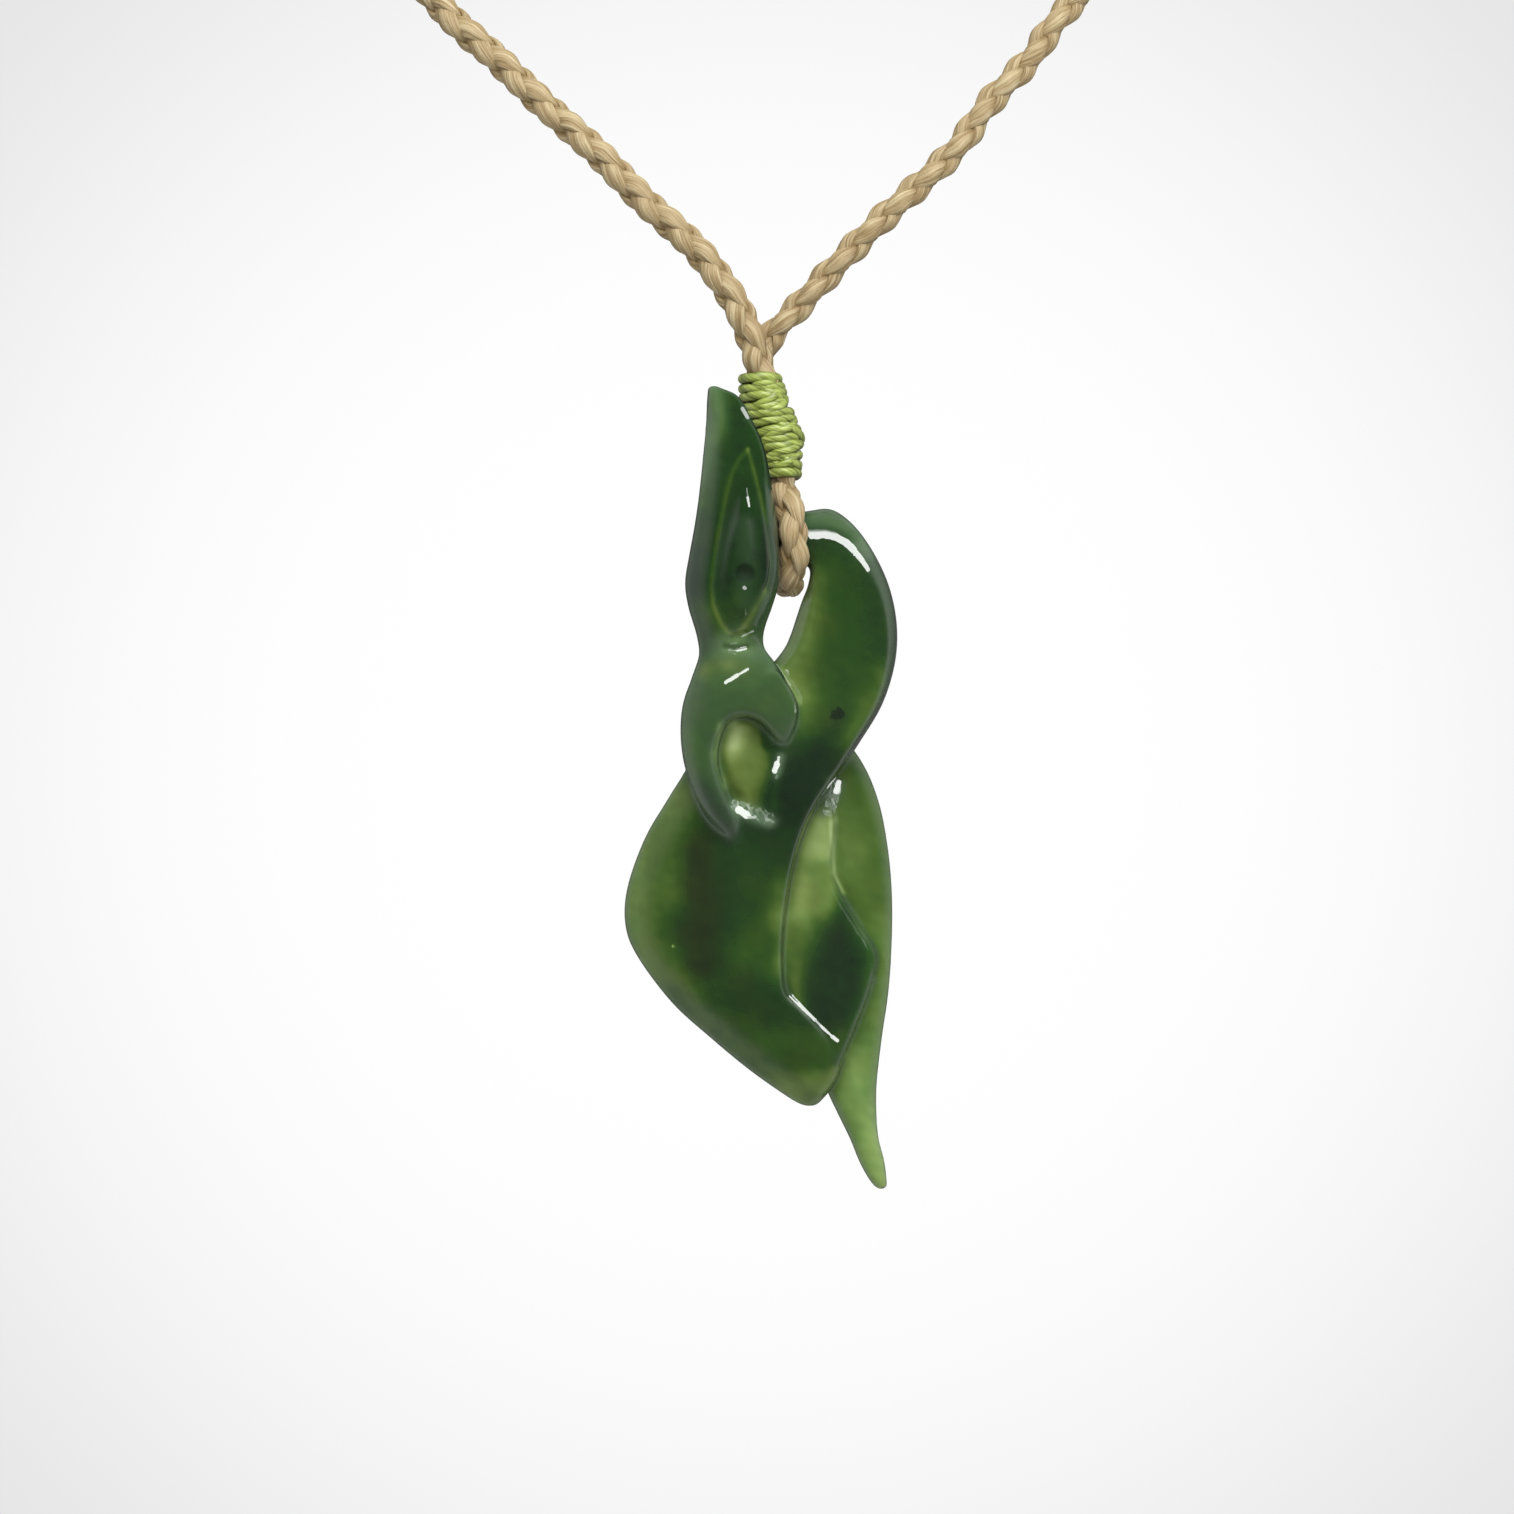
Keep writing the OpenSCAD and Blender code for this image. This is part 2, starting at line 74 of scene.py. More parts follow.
HOOK = [
    (1.9, -18.3, 1.6, -18.5, -3, -3, 0.4, 0.4),
    (2.4, -17.2, 1.1, -18.1, -3.1, -3.1, 0.9, 1),
    (2.8, -15.8, 0.4, -17.3, -3.2, -3.3, 1.4, 1.5),
    (2.7, -14.4, -0.3, -16.5, -3.3, -3.4, 1.7, 1.8),
    (2, -12.9, -1, -16, -3.3, -3.5, 1.9, 2, -0.1),
    (1.1, -11.5, -1.7, -15.8, -3.3, -3.6, 2, 2.2, -0.2),
    (-0.2, -10.4, -2.3, -15.8, -3.3, -3.6, 2.1, 2.2, -0.2),
    (-3, -10, -2.8, -15.9, -3.3, -3.6, 2.1, 2.2, -0.2),
    (-5.4, -10.8, -3.3, -16.3, -3.2, -3.5, 2, 2.2, -0.2),
    (-6.6, -12.6, -3.7, -16.9, -3, -3.4, 1.9, 2.4, -0.1),
    (-7.3, -14.6, -4, -17.8, -2.9, -3.2, 1.8, 2.8),
    (-7.5, -16.6, -4.2, -18.9, -2.8, -3, 1.7, 2.9),
    (-7.4, -18.6, -4.1, -20.1, -2.7, -2.8, 1.6, 2.7),
    (-7, -20.6, -3.7, -21.5, -2.4, -2.6, 1.5, 2.2),
    (-6.2, -22.7, -3.2, -22.9, -2.1, -2.4, 1.4, 1.6),
    (-5.2, -24.5, -2.5, -24.2, -1.9, -2.2, 1.2, 1.4),
    (-4.1, -25.7, -2.3, -25.3, -1.8, -2, 0.9, 1.1),
    (-3.1, -26.5, -2.5, -26.3, -1.8, -1.8, 0.5, 0.6),
]
RIBBON = [
    (-4.4, -1.8, -4.4, 1.4, -4, -4, 0.9, 1),
    (-2.6, -2.4, -2.6, 2, -3.3, -3.3, 1.5, 1.5),
    (-0.6, -2.4, -0.6, 2.3, -2, -2, 2, 1.9),
    (1.2, -2.3, 1.2, 2.3, -0.5, -0.5, 2.2, 2.2),
    (2.7, -2.3, 2.7, 2.3, 0, 0, 2.3, 2.3),
    (3.9, -2.5, 4, 2.5, 0, 0, 2.3, 2.3),
    (3.7, -4, 5.8, 2.6, 0, 0, 2.3, 2.3, 0.1),
    (3.5, -4.6, 7.8, 1.1, 0, 0, 2.4, 2.3, 0.2),
    (3.1, -5.5, 9.6, -1.5, 0, 0, 2.4, 2.3, 0.3),
    (2.6, -7, 10.9, -4.5, 0.1, 0, 2.4, 2.3, 0.3),
    (2.1, -8.5, 11.5, -7.8, 0.1, 0, 2.4, 2.3, 0.3),
    (1.4, -9.9, 11.3, -11.1, 0, 0, 2.4, 2.3, 0.3),
    (-0.2, -11.6, 10.2, -14.6, -0.2, 0, 2.4, 2.4, 0.3),
    (-3.6, -13.6, 8.3, -17.8, -1.1, -0.1, 2.4, 2.4, 0.4),
    (-6, -16.4, 6.3, -20.8, -1.2, -0.3, 2.3, 2.3, 0.5),
    (-6.8, -19.6, 4.7, -23.1, -0.6, -0.7, 2.2, 2.3, 0.5),
    (-8.7, -22.9, 3.4, -25.7, 0.7, -0.5, 2.2, 2.4, 0.3),
    (-10.7, -26.35, 2.5, -28.7, 1.1, -0.3, 2.1, 2.6, 0.2),
    (-12.22, -30.65, 1.9, -32, 1.2, -0.3, 2, 2.7, 0.1),
    (-12.4, -34, 1.6, -35.2, 1.2, -0.3, 2, 2.8, 0.1),
    (-11.3, -36.8, 1.6, -38, 1.2, -0.3, 2, 2.8, 0.1),
    (-8.3, -40.8, 1.9, -39.9, 1.2, -0.3, 2, 2.7, 0.1),
    (-4.9, -43.9, 3.1, -41.1, 1.2, -0.2, 1.9, 2.5),
    (-1.4, -46.8, 4.7, -42.7, 1.2, 0, 1.8, 2.1),
    (2, -49.2, 6, -44.6, 1.2, 0.5, 1.7, 1.6),
    (3.1, -49.8, 6.3, -46.7, 1.2, 1, 1.4, 1.3),
    (3.5, -49.95, 5.9, -47.9, 1.2, 1.1, 1.1, 1),
    (3.9, -49.85, 5.4, -48.6, 1.2, 1.2, 0.7, 0.7),
]
LOBE = [
    (2.4, -21.8, 5.6, -21.8, 1.6, 1.8, 1, 1),
    (0.6, -25.3, 6.1, -25, 1.7, 1.9, 1.1, 1.1),
    (-0.6, -28.6, 5.9, -28.6, 1.7, 1.9, 1.1, 1.2),
    (-1, -31.4, 6.7, -31.3, 1.6, 1.7, 1.2, 1.4, 0.1),
    (-1.2, -34, 8.3, -33.9, 1.5, 1.4, 1.4, 1.7, 0.1),
    (-1, -36, 9.5, -35.8, 1.4, 1.2, 1.6, 1.9, 0.1),
    (-0.8, -37.4, 9.8, -37.2, 1.3, 1.1, 1.7, 2, 0.1),
    (-0.5, -40, 9.1, -40, 1.2, 1, 1.8, 2, 0.1),
    (0.2, -43.3, 7.8, -43.3, 1.1, 0.9, 1.8, 2, 0.1),
    (1.4, -45.6, 6.9, -45.5, 1.1, 0.9, 1.7, 1.8),
    (2.4, -47.4, 6.4, -47.1, 1.1, 1, 1.3, 1.4),
    (3.1, -48.5, 5.65, -48.4, 1.1, 1.1, 0.8, 0.8),
]
TAIL = [
    (-4.9, -11, -1.2, -10, -3, -3, 1.2, 1.4),
    (-5.3, -12.8, 0.9, -11.3, -1.6, -1.6, 1.6, 1.5),
    (-4.4, -15.8, 3.2, -13.4, 0.2, 0.2, 1.8, 1.5),
    (-1.8, -19.8, 6.3, -16.75, 2.3, 2.3, 1.6, 1.5),
    (1.4, -23.2, 8.55, -19.7, 3.3, 3.3, 1.4, 1.4),
    (3.5, -26.2, 9.95, -23, 3.4, 3.4, 1.3, 1.3),
    (4.5, -29.2, 10.75, -26.8, 3.3, 3.3, 1.2, 1.2),
    (5.1, -32.6, 11.15, -31, 3.3, 3.2, 1.2, 1.2),
    (5.2, -36.4, 11.15, -35.5, 3.3, 3.1, 1.2, 1.2),
    (5, -40.4, 10.85, -39.9, 3.2, 3, 1.2, 1.2),
    (4.8, -44.4, 10.22, -44.3, 3, 2.8, 1.2, 1.2),
    (5.2, -48.1, 9.8, -48.1, 2.7, 2.6, 1.2, 1.2),
    (6.2, -50.5, 9.8, -50.7, 2.5, 2.5, 1.1, 1.1),
    (7.3, -52.8, 10, -52.8, 2.3, 2.3, 0.9, 0.9),
    (8.1, -54.8, 10.5, -54.7, 2.2, 2.2, 0.8, 0.8),
    (8.85, -56.2, 10.7, -56.2, 2.1, 2.1, 0.7, 0.7),
    (9.4, -57, 10.8, -56.9, 2.1, 2.1, 0.5, 0.5),
]

# Route of the cord's middle line in mm, close to the CAD's: through the carving's loop, in the carving's
# frame, and from there round the neck's right side, in the whole frame
FORK = [
    (-28.7, 6, 47.2), (-24.1, 4.2, 42.8), (-19.7, 2.6, 38.4), (-14.9, 1.2, 34), (-10.7, 0.2, 29.6),
    (-6.1, -0.6, 25.3), (-2.9, -1.1, 20.9), (-1.4, -1.3, 17.6), (-0.45, -1.35, 14.6), (0, -1.35, 12),
    (0.5, -1.35, 10), (0.9, -1.35, 8), (1.2, -1.35, 6.2), (1.45, -1.35, 4.4), (1.8, -2.7, 3.2),
    (2.15, -3.6, 1.8), (2.4, -4, 0), (2.4, -3.45, -1.95), (2.17, -2, -3.45), (1.9, 0, -4),
    (1.8, 2, -3.5), (1.8, 3.5, -2), (1.8, 4, 0), (1.8, 3.6, 1.8), (1.7, 2.7, 3.2),
    (1.5, 1.35, 4.4), (1.2, 1.35, 6.2), (0.9, 1.35, 8), (0.5, 1.35, 10), (0, 1.35, 12),
    (-0.45, 1.35, 14.6), (0.3, 1.3, 17.6), (2.5, 1.2, 20), (6.1, 1, 23.9), (10, 1.2, 27.9),
    (16.4, 2.4, 34), (19.6, 3.4, 38.4), (23.6, 4.6, 42.8), (26.8, 6, 47.2),
]
NECK = [
    (39, -109, -90), (50, -98, -76), (59, -82, -61), (65, -63, -45), (66, -43, -30),
    (60, -25, -18), (48, -11, -9), (32, -2, -3), (18, 2, 0), (9, 2.4, 0), (3.2, 2.4, 0),
]

# Rows of the binding, close to the CAD's: z, x of its axis, half width and half depth, in mm
BINDING = [
    (4.9, 1.45, 1.65, 3.05), (5.7, 1.35, 1.75, 3.1), (7, 1.15, 2.1, 3.05), (7.8, 0.95, 2.45, 3.1),
    (9.5, 0.6, 2.5, 3.15), (11.5, 0.05, 2.35, 3.15), (13.2, -0.45, 2.05, 3.05), (14.7, -0.6, 1.8, 3),
]


# Shared helpers

def smooth_rows(rows, steps):
    """Rows of a table with some steps from each row to the next, on a smooth curve through all of them."""
    rows = np.asarray(rows, float)
    before = np.vstack([rows[:1], rows[:-2]])
    after = np.vstack([rows[2:], rows[-1:]])
    out = []
    for a, b, c, d in zip(before, rows[:-1], rows[1:], after):
        square, cube = 2 * a - 5 * b + 4 * c - d, 3 * b - a - 3 * c + d
        for t in np.arange(steps) / steps:
            out.append((2 * b + (c - a) * t + square * t**2 + cube * t**3) / 2)
    return np.array(out + [rows[-1]])


def unit(v):
    return v / np.maximum(np.linalg.norm(v, axis=-1, keepdims=True), 1e-12)


def smoothstep(low, high, v):
    t = np.clip((v - low) / (high - low), 0, 1)
    return t * t * (3 - 2 * t)


def blend(a, b, share):
    return a + (b - a) * share


def bell(v, power=2):
    """1 where v is 0, falling to nearly 0 at 2, and the more steeply at 1 the higher the power."""
    return np.exp(-(v**power))


def circle(count):
    """Angles of points that are spaced evenly round a circle."""
    return np.arange(count) * 2 * math.pi / count


def run_along(path):
    """Length of a path up to each of its points."""
    return np.concatenate([[0], np.cumsum(np.linalg.norm(np.diff(path, axis=0), axis=1))])


def ring_quads(rings, sides):
    """Faces between rings of points that follow one another."""
    i, k = np.meshgrid(np.arange(rings - 1), np.arange(sides), indexing="ij")
    m = (k + 1) % sides
    corners = [i * sides + k, i * sides + m, (i + 1) * sides + m, (i + 1) * sides + k]
    return np.stack(corners, -1).reshape(-1, 4)


def waviness(points, length, seed, waves=16):
    """Smooth random field of about -1 to 1 with waves of about some length."""
    rng = np.random.default_rng(seed)
    ways = unit(rng.normal(size=(waves, 3))) * 2 * math.pi / (length * rng.uniform(0.7, 1.6, (waves, 1)))
    return np.sin(points @ ways.T + rng.uniform(0, 2 * math.pi, waves)).sum(1) / math.sqrt(waves)


def add_object(name, data):
    piece = bpy.data.objects.new(name, data)
    bpy.context.scene.collection.objects.link(piece)
    return piece


def add_mesh(name, points_mm, faces):
    """Smooth-shaded object from points in mm of the whole frame, and faces as an array or a list."""
    mesh = bpy.data.meshes.new(name)
    mesh.from_pydata((np.asarray(points_mm) * MM).tolist(), [], [list(map(int, f)) for f in faces])
    mesh.shade_smooth()
    mesh.validate()
    return add_object(name, mesh)


def set_attribute(piece, name, kind, values):
    layer = piece.data.attributes.new(name, kind, "POINT")
    key = {"FLOAT": "value", "FLOAT_COLOR": "color", "FLOAT_VECTOR": "vector"}[kind]
    layer.data.foreach_set(key, np.ascontiguousarray(values, dtype=np.float32).ravel())


# The carving's form

VOXEL = 0.22  # mm
BAND = 8  # voxels of distance kept on each side of a surface
LOW = np.array([-13.8, -8.4, -58.6])
HIGH = np.array([13.0, 6.4, 14.8])
SHAPE = tuple(np.ceil((HIGH - LOW) / VOXEL).astype(int))
ORIGIN = tuple(np.floor(LOW / VOXEL).astype(int).tolist())
SECTION_SIDES = 72
ROW_STEPS = 8
END_SHARE = 0.8  # length of a form's rounded end, as a share of its half size there
END_STEPS = (0.25, 0.5, 0.7, 0.85, 0.95)  # places of the end's rings, as shares of that length
FILLET = 0.35  # mm over which two forms flow together
EDGE_ROUND = 0.34  # mm of width in which a section rises to its edge's height
EDGE_HEIGHT = 0.3  # of the swell
FACE_HEIGHT = 0.93  # of the swell, where the bevel meets the face
WIDEST_BEVEL = 0.9  # of the section's half width
SOFT_BEVEL = 1.6  # mm, width from which a bevel's line is as soft as its form says
LEAST_SOFT = 0.2  # share of that softness at the narrowest bevels
LEAST_HALF = 0.2  # mm, half width
JOIN = 0.8  # mm over which the neck flows into the hook
SOFTENED = 2  # rounds of polishing everywhere
MORE_SOFTENED = 8  # and where the stone is rounder than the rest

# Places that are polished rounder than the rest: x and z, radius in mm, and the lowest y
ROUNDED = [(5.5, -0.5, 4.5, -9.0), (-2.6, -0.2, 3.2, -3.4)]

# The carving's forms: rows, softness of the line between bevel and face, then the width in mm of the left
# and of the right bevel from some row onwards
FORMS = {
    "head": (HEAD, 0.22, [
        (0, 0.12, 0.1), (1.3, 0.3, 0.1), (1.7, 0.6, 0.5), (2, 0.9, 0.5), (2.4, 1.2, 0.2),
        (3.4, 1.5, 0.25), (5, 1.7, 1), (7, 1.9, 1.1), (10, 1.3, 1.1), (12, 1.2, 1.2),
    ]),
    "field": (FIELD, 0.3, [(0, 0.3, 0.3), (3, 1.1, 1.1), (7, 0.5, 0.5)]),
    "hook": (HOOK, 0.5, [
        (0, 0.3, 0.4), (3, 0.25, 0.45), (5, 0.3, 0.5), (6, 2.3, 0.5), (8, 2.3, 0.5), (9, 1.9, 0.5),
        (11, 1.2, 0.9), (17, 0.5, 0.5),
    ]),
    "ribbon": (RIBBON, 0.18, [
        (0, 0.8, 0.8), (5, 0.9, 2.35), (6, 1, 2.45), (7, 1, 1.9), (8, 1.1, 1.3), (9, 1.2, 1),
        (11, 1.3, 0.8), (12, 1.2, 0.65), (14, 1.5, 0.4), (16, 2.3, 0.35), (22, 2.3, 0.35), (27, 1.5, 0.5),
    ]),
    "lobe": (LOBE, 0.1, [(0, 0.5, 0.4), (5, 0.5, 0.4), (8, 0.5, 0.35), (11, 0.8, 0.35)]),
    "tail": (TAIL, 0.1, [(0, 0.5, 0.5), (4, 0.7, 1), (12, 0.7, 0.9), (16, 0.4, 0.4)]),
}


def bevelled(inset, bevel, half, soft):
    """Height of a section, as a share of its swell, at some distance in from its edge."""
    edge = np.sqrt(np.clip(1 - (1 - np.minimum(inset / EDGE_ROUND, 1)) ** 2, 0, 1))
    slope = EDGE_HEIGHT + (FACE_HEIGHT - EDGE_HEIGHT) * inset / np.minimum(bevel, WIDEST_BEVEL * half)
    face = FACE_HEIGHT + (1 - FACE_HEIGHT) * (1 - (1 - np.minimum(inset / half, 1)) ** 2)
    soft = soft * np.clip(bevel / SOFT_BEVEL, LEAST_SOFT, 1)
    h = np.clip(0.5 + 0.5 * (face - slope) / soft, 0, 1)
    return edge * (face * (1 - h) + slope * h - soft * h * (1 - h))


def lens(row, bevels, soft):
    """Section of the carving between a row's left and right edge."""
    lx, lz, rx, rz, ly, ry, front, back, skew = row
    u, v = np.cos(circle(SECTION_SIDES)), np.sin(circle(SECTION_SIDES))
    half = max(math.hypot(rx - lx, rz - lz) / 2, LEAST_HALF)
    height = bevelled(half * (1 - np.abs(u)), np.where(u < 0, bevels[0], bevels[1]), half, soft)
    swell = np.where(v < 0, -front, back) * (1 + skew * u) * height
    left, right = (1 - u) / 2, (1 + u) / 2
    return np.column_stack([lx * left + rx * right, ly * left + ry * right + swell, lz * left + rz * right])


def end_rings(ring, before):
    """Rings that close a form with a rounded end, beyond its last ring."""
    half = len(ring) // 2
    out = unit(ring[0] + ring[half] - before[0] - before[half])
    across = np.linalg.norm(ring[0] - ring[half])
    deep = np.linalg.norm(ring[half // 2] - ring[half + half // 2])
    length = END_SHARE * min(across, deep) / 2
    middle = (ring[0] + ring[half]) / 2
    return [middle + math.sqrt(1 - t * t) * (ring - middle) + t * length * out for t in END_STEPS]


def form_surface(rows, soft, bevels):
    """Closed surface of one carved form: points, quads and the triangles of its two caps."""
    dense = smooth_rows([(*row, 0)[:9] for row in rows], ROW_STEPS)
    at = np.arange(len(dense)) / ROW_STEPS
    at_row, left, right = np.array(bevels).T
    widths = zip(np.interp(at, at_row, left), np.interp(at, at_row, right))
    rings = [lens(row, width, soft) for row, width in zip(dense, widths)]
    first, last = end_rings(rings[0], rings[1]), end_rings(rings[-1], rings[-2])
    rings = first[::-1] + rings + last
    n, count = SECTION_SIDES, len(rings)
    points = np.vstack(rings + [rings[0].mean(0), rings[-1].mean(0)])
    k = np.arange(n)
    m = (k + 1) % n
    cap_a = np.column_stack([m, k, np.full(n, count * n)])
    cap_b = np.column_stack([(count - 1) * n + k, (count - 1) * n + m, np.full(n, count * n + 1)])
    return points, ring_quads(count, n), np.vstack([cap_a, cap_b])


def form_distance(rows, soft, bevels):
    """Signed distance to one carved form in mm, on the grid of the carving."""
    points, quads, triangles = form_surface(rows, soft, bevels)
    grid = vdb.FloatGrid.createLevelSetFromPolygons(
        points.astype(np.float32), triangles.astype(np.uint32), quads.astype(np.uint32),
        vdb.createLinearTransform(VOXEL), BAND,
    )
    field = np.full(SHAPE, BAND * VOXEL, np.float32)
    grid.copyToArray(field, ijk=ORIGIN)
    return field


def joined(a, b, width):
    """Union of two distance fields that flow together over some width."""
    h = np.clip(0.5 + 0.5 * (b - a) / width, 0, 1)
    return b * (1 - h) + a * h - width * h * (1 - h)


def softened(field, rounds):
    """Field with its edges rounded a little, as polishing does."""
    for _ in range(rounds):
        for axis in range(3):
            field = (np.roll(field, 1, axis) + 2 * field + np.roll(field, -1, axis)) / 4
    return field


def sample(field, points):
    """Value of a field at points in mm of the carving's frame."""
    p = points / VOXEL - np.array(ORIGIN)
    base = np.clip(np.floor(p).astype(int), 0, np.array(SHAPE) - 2)
    f = p - base
    total = np.zeros(len(points))
    for corner in range(8):
        step = np.array([corner & 1, corner >> 1 & 1, corner >> 2 & 1])
        weight = np.prod(np.where(step, f, 1 - f), axis=1)
        i, j, k = (base + step).T
        total += weight * field[i, j, k]
    return total


def carving_fields():
    """Distance field of the whole carving, and one of each form."""
    forms = {name: form_distance(*form) for name, form in FORMS.items()}
    whole = joined(forms["head"], forms["hook"], JOIN)
    for name in ("field", "ribbon", "lobe", "tail"):
        whole = joined(whole, forms[name], FILLET)
    whole = softened(whole, SOFTENED)
    axes = [(np.arange(n) + o) * VOXEL for n, o in zip(SHAPE, ORIGIN)]
    x, y, z = np.meshgrid(*axes, indexing="ij", sparse=True)
    share = np.zeros(SHAPE, np.float32)
    for cx, cz, radius, low in ROUNDED:
        place = np.exp(-((x - cx) ** 2 + (z - cz) ** 2) / radius**2)
        share = np.maximum(share, place * smoothstep(low, low + 1, y)).astype(np.float32)
    return whole + share * (softened(whole, MORE_SOFTENED) - whole), forms


def outward(field, points):
    """Direction out of the stone at each point."""
    steps = np.eye(3) * VOXEL
    return unit(np.column_stack([sample(field, points + s) - sample(field, points - s) for s in steps]))


# Lines cut into the head's front, round its leaf and across the neck: x and z of their points in the
# carving's frame, half width and depth in mm, and how strongly they show at the top and further down
CUTS = [
    ([(-1.6, 7.5), (-2.4, 6.6), (-3, 5.4), (-3.5, 3.4), (-4, 1), (-4.5, -1.8), (-4.8, -4.4), (-4.6, -6),
      (-4, -7.4), (-3.4, -8.3), (-2.7, -8.75)], 0.24, 0.09, 0.75, 0.75),
    ([(-1.6, 7.5), (-1.1, 5.8), (-0.6, 3.9), (-0.1, 1.8), (0.3, -0.6), (0.5, -2.3), (0.3, -3.9), (0, -4.8)],
     0.2, 0.16, 1, 0.5),
    ([(0, -4.8), (-0.8, -6.2), (-1.7, -7.6), (-2.2, -8.5)], 0.4, 0.1, 1.1, 1.1),
    ([(-3, -8.9), (-2.4, -8.8), (-1.8, -8.4)], 0.26, 0.24, 0, 0),
    ([(-3.6, -9.7), (-2.6, -9.9), (-1.6, -9.7)], 0.26, 0.24, 0, 0),
]
CUT_TOP = (7.2, 5.4)  # z in mm between which the cuts set in
CUT_FRONT = (-3.2, -4.2)  # y in mm between which they do
CUT_FACING = (-0.1, -0.5)  # y of the surface's direction between which they do
SHOW_TOP = (0.5, 3)  # z in mm between which they change to how they show at the top
EYE = (-1.85, -3.35)
EYE_RADIUS = 0.95
EYE_DEPTH = 0.5
EYE_RIM = (1.1, 0.6)  # shares of its radius between which its painted shade sets in
EYE_SHADE = 0.5  # painted shade in the pit: how far it takes away from what the cuts show


def line_distance(x, z, line):
    """Distance in the front plane from points to a line of straight stretches."""
    p = np.column_stack([x, z])
    best = np.full(len(x), 1e9)
    for a, b in zip(np.array(line[:-1]), np.array(line[1:])):
        t = np.clip(((p - a) @ (b - a)) / max(((b - a) ** 2).sum(), 1e-9), 0, 1)
        best = np.minimum(best, np.linalg.norm(p - a - t[:, None] * (b - a), axis=1))
    return best


def relief(points, normals):
    """Depth in mm that is cut into the front of the head, and how strongly the cut lines show, less the
    painted shade in the eye's pit.
    """
    x, y, z = points.T
    depth, shows = np.zeros((2, len(points)))
    for line, width, deep, upper, lower in CUTS:
        cut = bell(line_distance(x, z, line) / width)
        depth = depth + deep * cut
        shows = shows + cut * (lower + (upper - lower) * smoothstep(*SHOW_TOP, z))
    eye = np.hypot(x - EYE[0], z - EYE[1]) / EYE_RADIUS
    depth = depth * smoothstep(*CUT_TOP, z) + EYE_DEPTH * np.clip(1 - eye**2, 0, 1)
    # Painted shade in the eye's pit
    shows = shows - EYE_SHADE * smoothstep(*EYE_RIM, eye)
    front = smoothstep(*CUT_FACING, normals[:, 1]) * smoothstep(*CUT_FRONT, y)
    return depth * front, shows * front


# Front of the head, where faces are split: lowest x, highest y, lowest z in mm, highest y of its direction
HEAD_X, HEAD_Y, HEAD_Z, HEAD_FACING = -5.6, -3.6, -10, -0.5


def split_faces(piece, wanted):
    """Each quad that has a wanted point cut into four, so that fine relief has points to move."""
    work = bmesh.new()
    work.from_mesh(piece.data)
    work.verts.ensure_lookup_table()
    chosen = {e for v in work.verts if wanted[v.index] for e in v.link_edges}
    bmesh.ops.subdivide_edges(work, edges=list(chosen), cuts=1, use_grid_fill=True)
    bmesh.ops.triangulate(work, faces=[f for f in work.faces if len(f.verts) > 4])
    work.to_mesh(piece.data)
    work.free()


def local_points(piece):
    """Points of a mesh in mm of the carving's frame."""
    flat = np.empty(3 * len(piece.data.vertices), np.float32)
    piece.data.vertices.foreach_get("co", flat)
    return flat.reshape(-1, 3).astype(float) / MM - HANG


def carve():
    """The whole carving, one stone, with its cut lines and the colour fields that its material reads."""
    field, forms = carving_fields()
    grid = vdb.FloatGrid(BAND * VOXEL)
    grid.transform = vdb.createLinearTransform(VOXEL)
    grid.copyFromArray(field, ijk=ORIGIN)
    points, triangles, quads = grid.convertToPolygons(0.0, 0.0)
    faces = quads.tolist() + triangles.tolist()
    stone = add_mesh("jade_carving", points + HANG, faces)
    local = local_points(stone)
    normal = outward(field, local)
    x, y, z = local.T
    head = (x > HEAD_X) & (y < HEAD_Y) & (z > HEAD_Z) & (normal[:, 1] < HEAD_FACING)
    split_faces(stone, head | near_glints(local, normal, BROAD))
    local = local_points(stone)
    split_faces(stone, near_glints(local, outward(field, local), FINE))
    local = local_points(stone)
    normal = outward(field, local)
    for _ in range(2):
        local = local - normal * sample(field, local)[:, None]
    depth, shows = relief(local, normal)
    local = local - normal * depth[:, None]
    stone.data.vertices.foreach_set("co", ((local + HANG) * MM).astype(np.float32).ravel())
    stone.data.update()
    paint(stone, forms, local, normal, shows)
    polish(stone, local)
    return stone
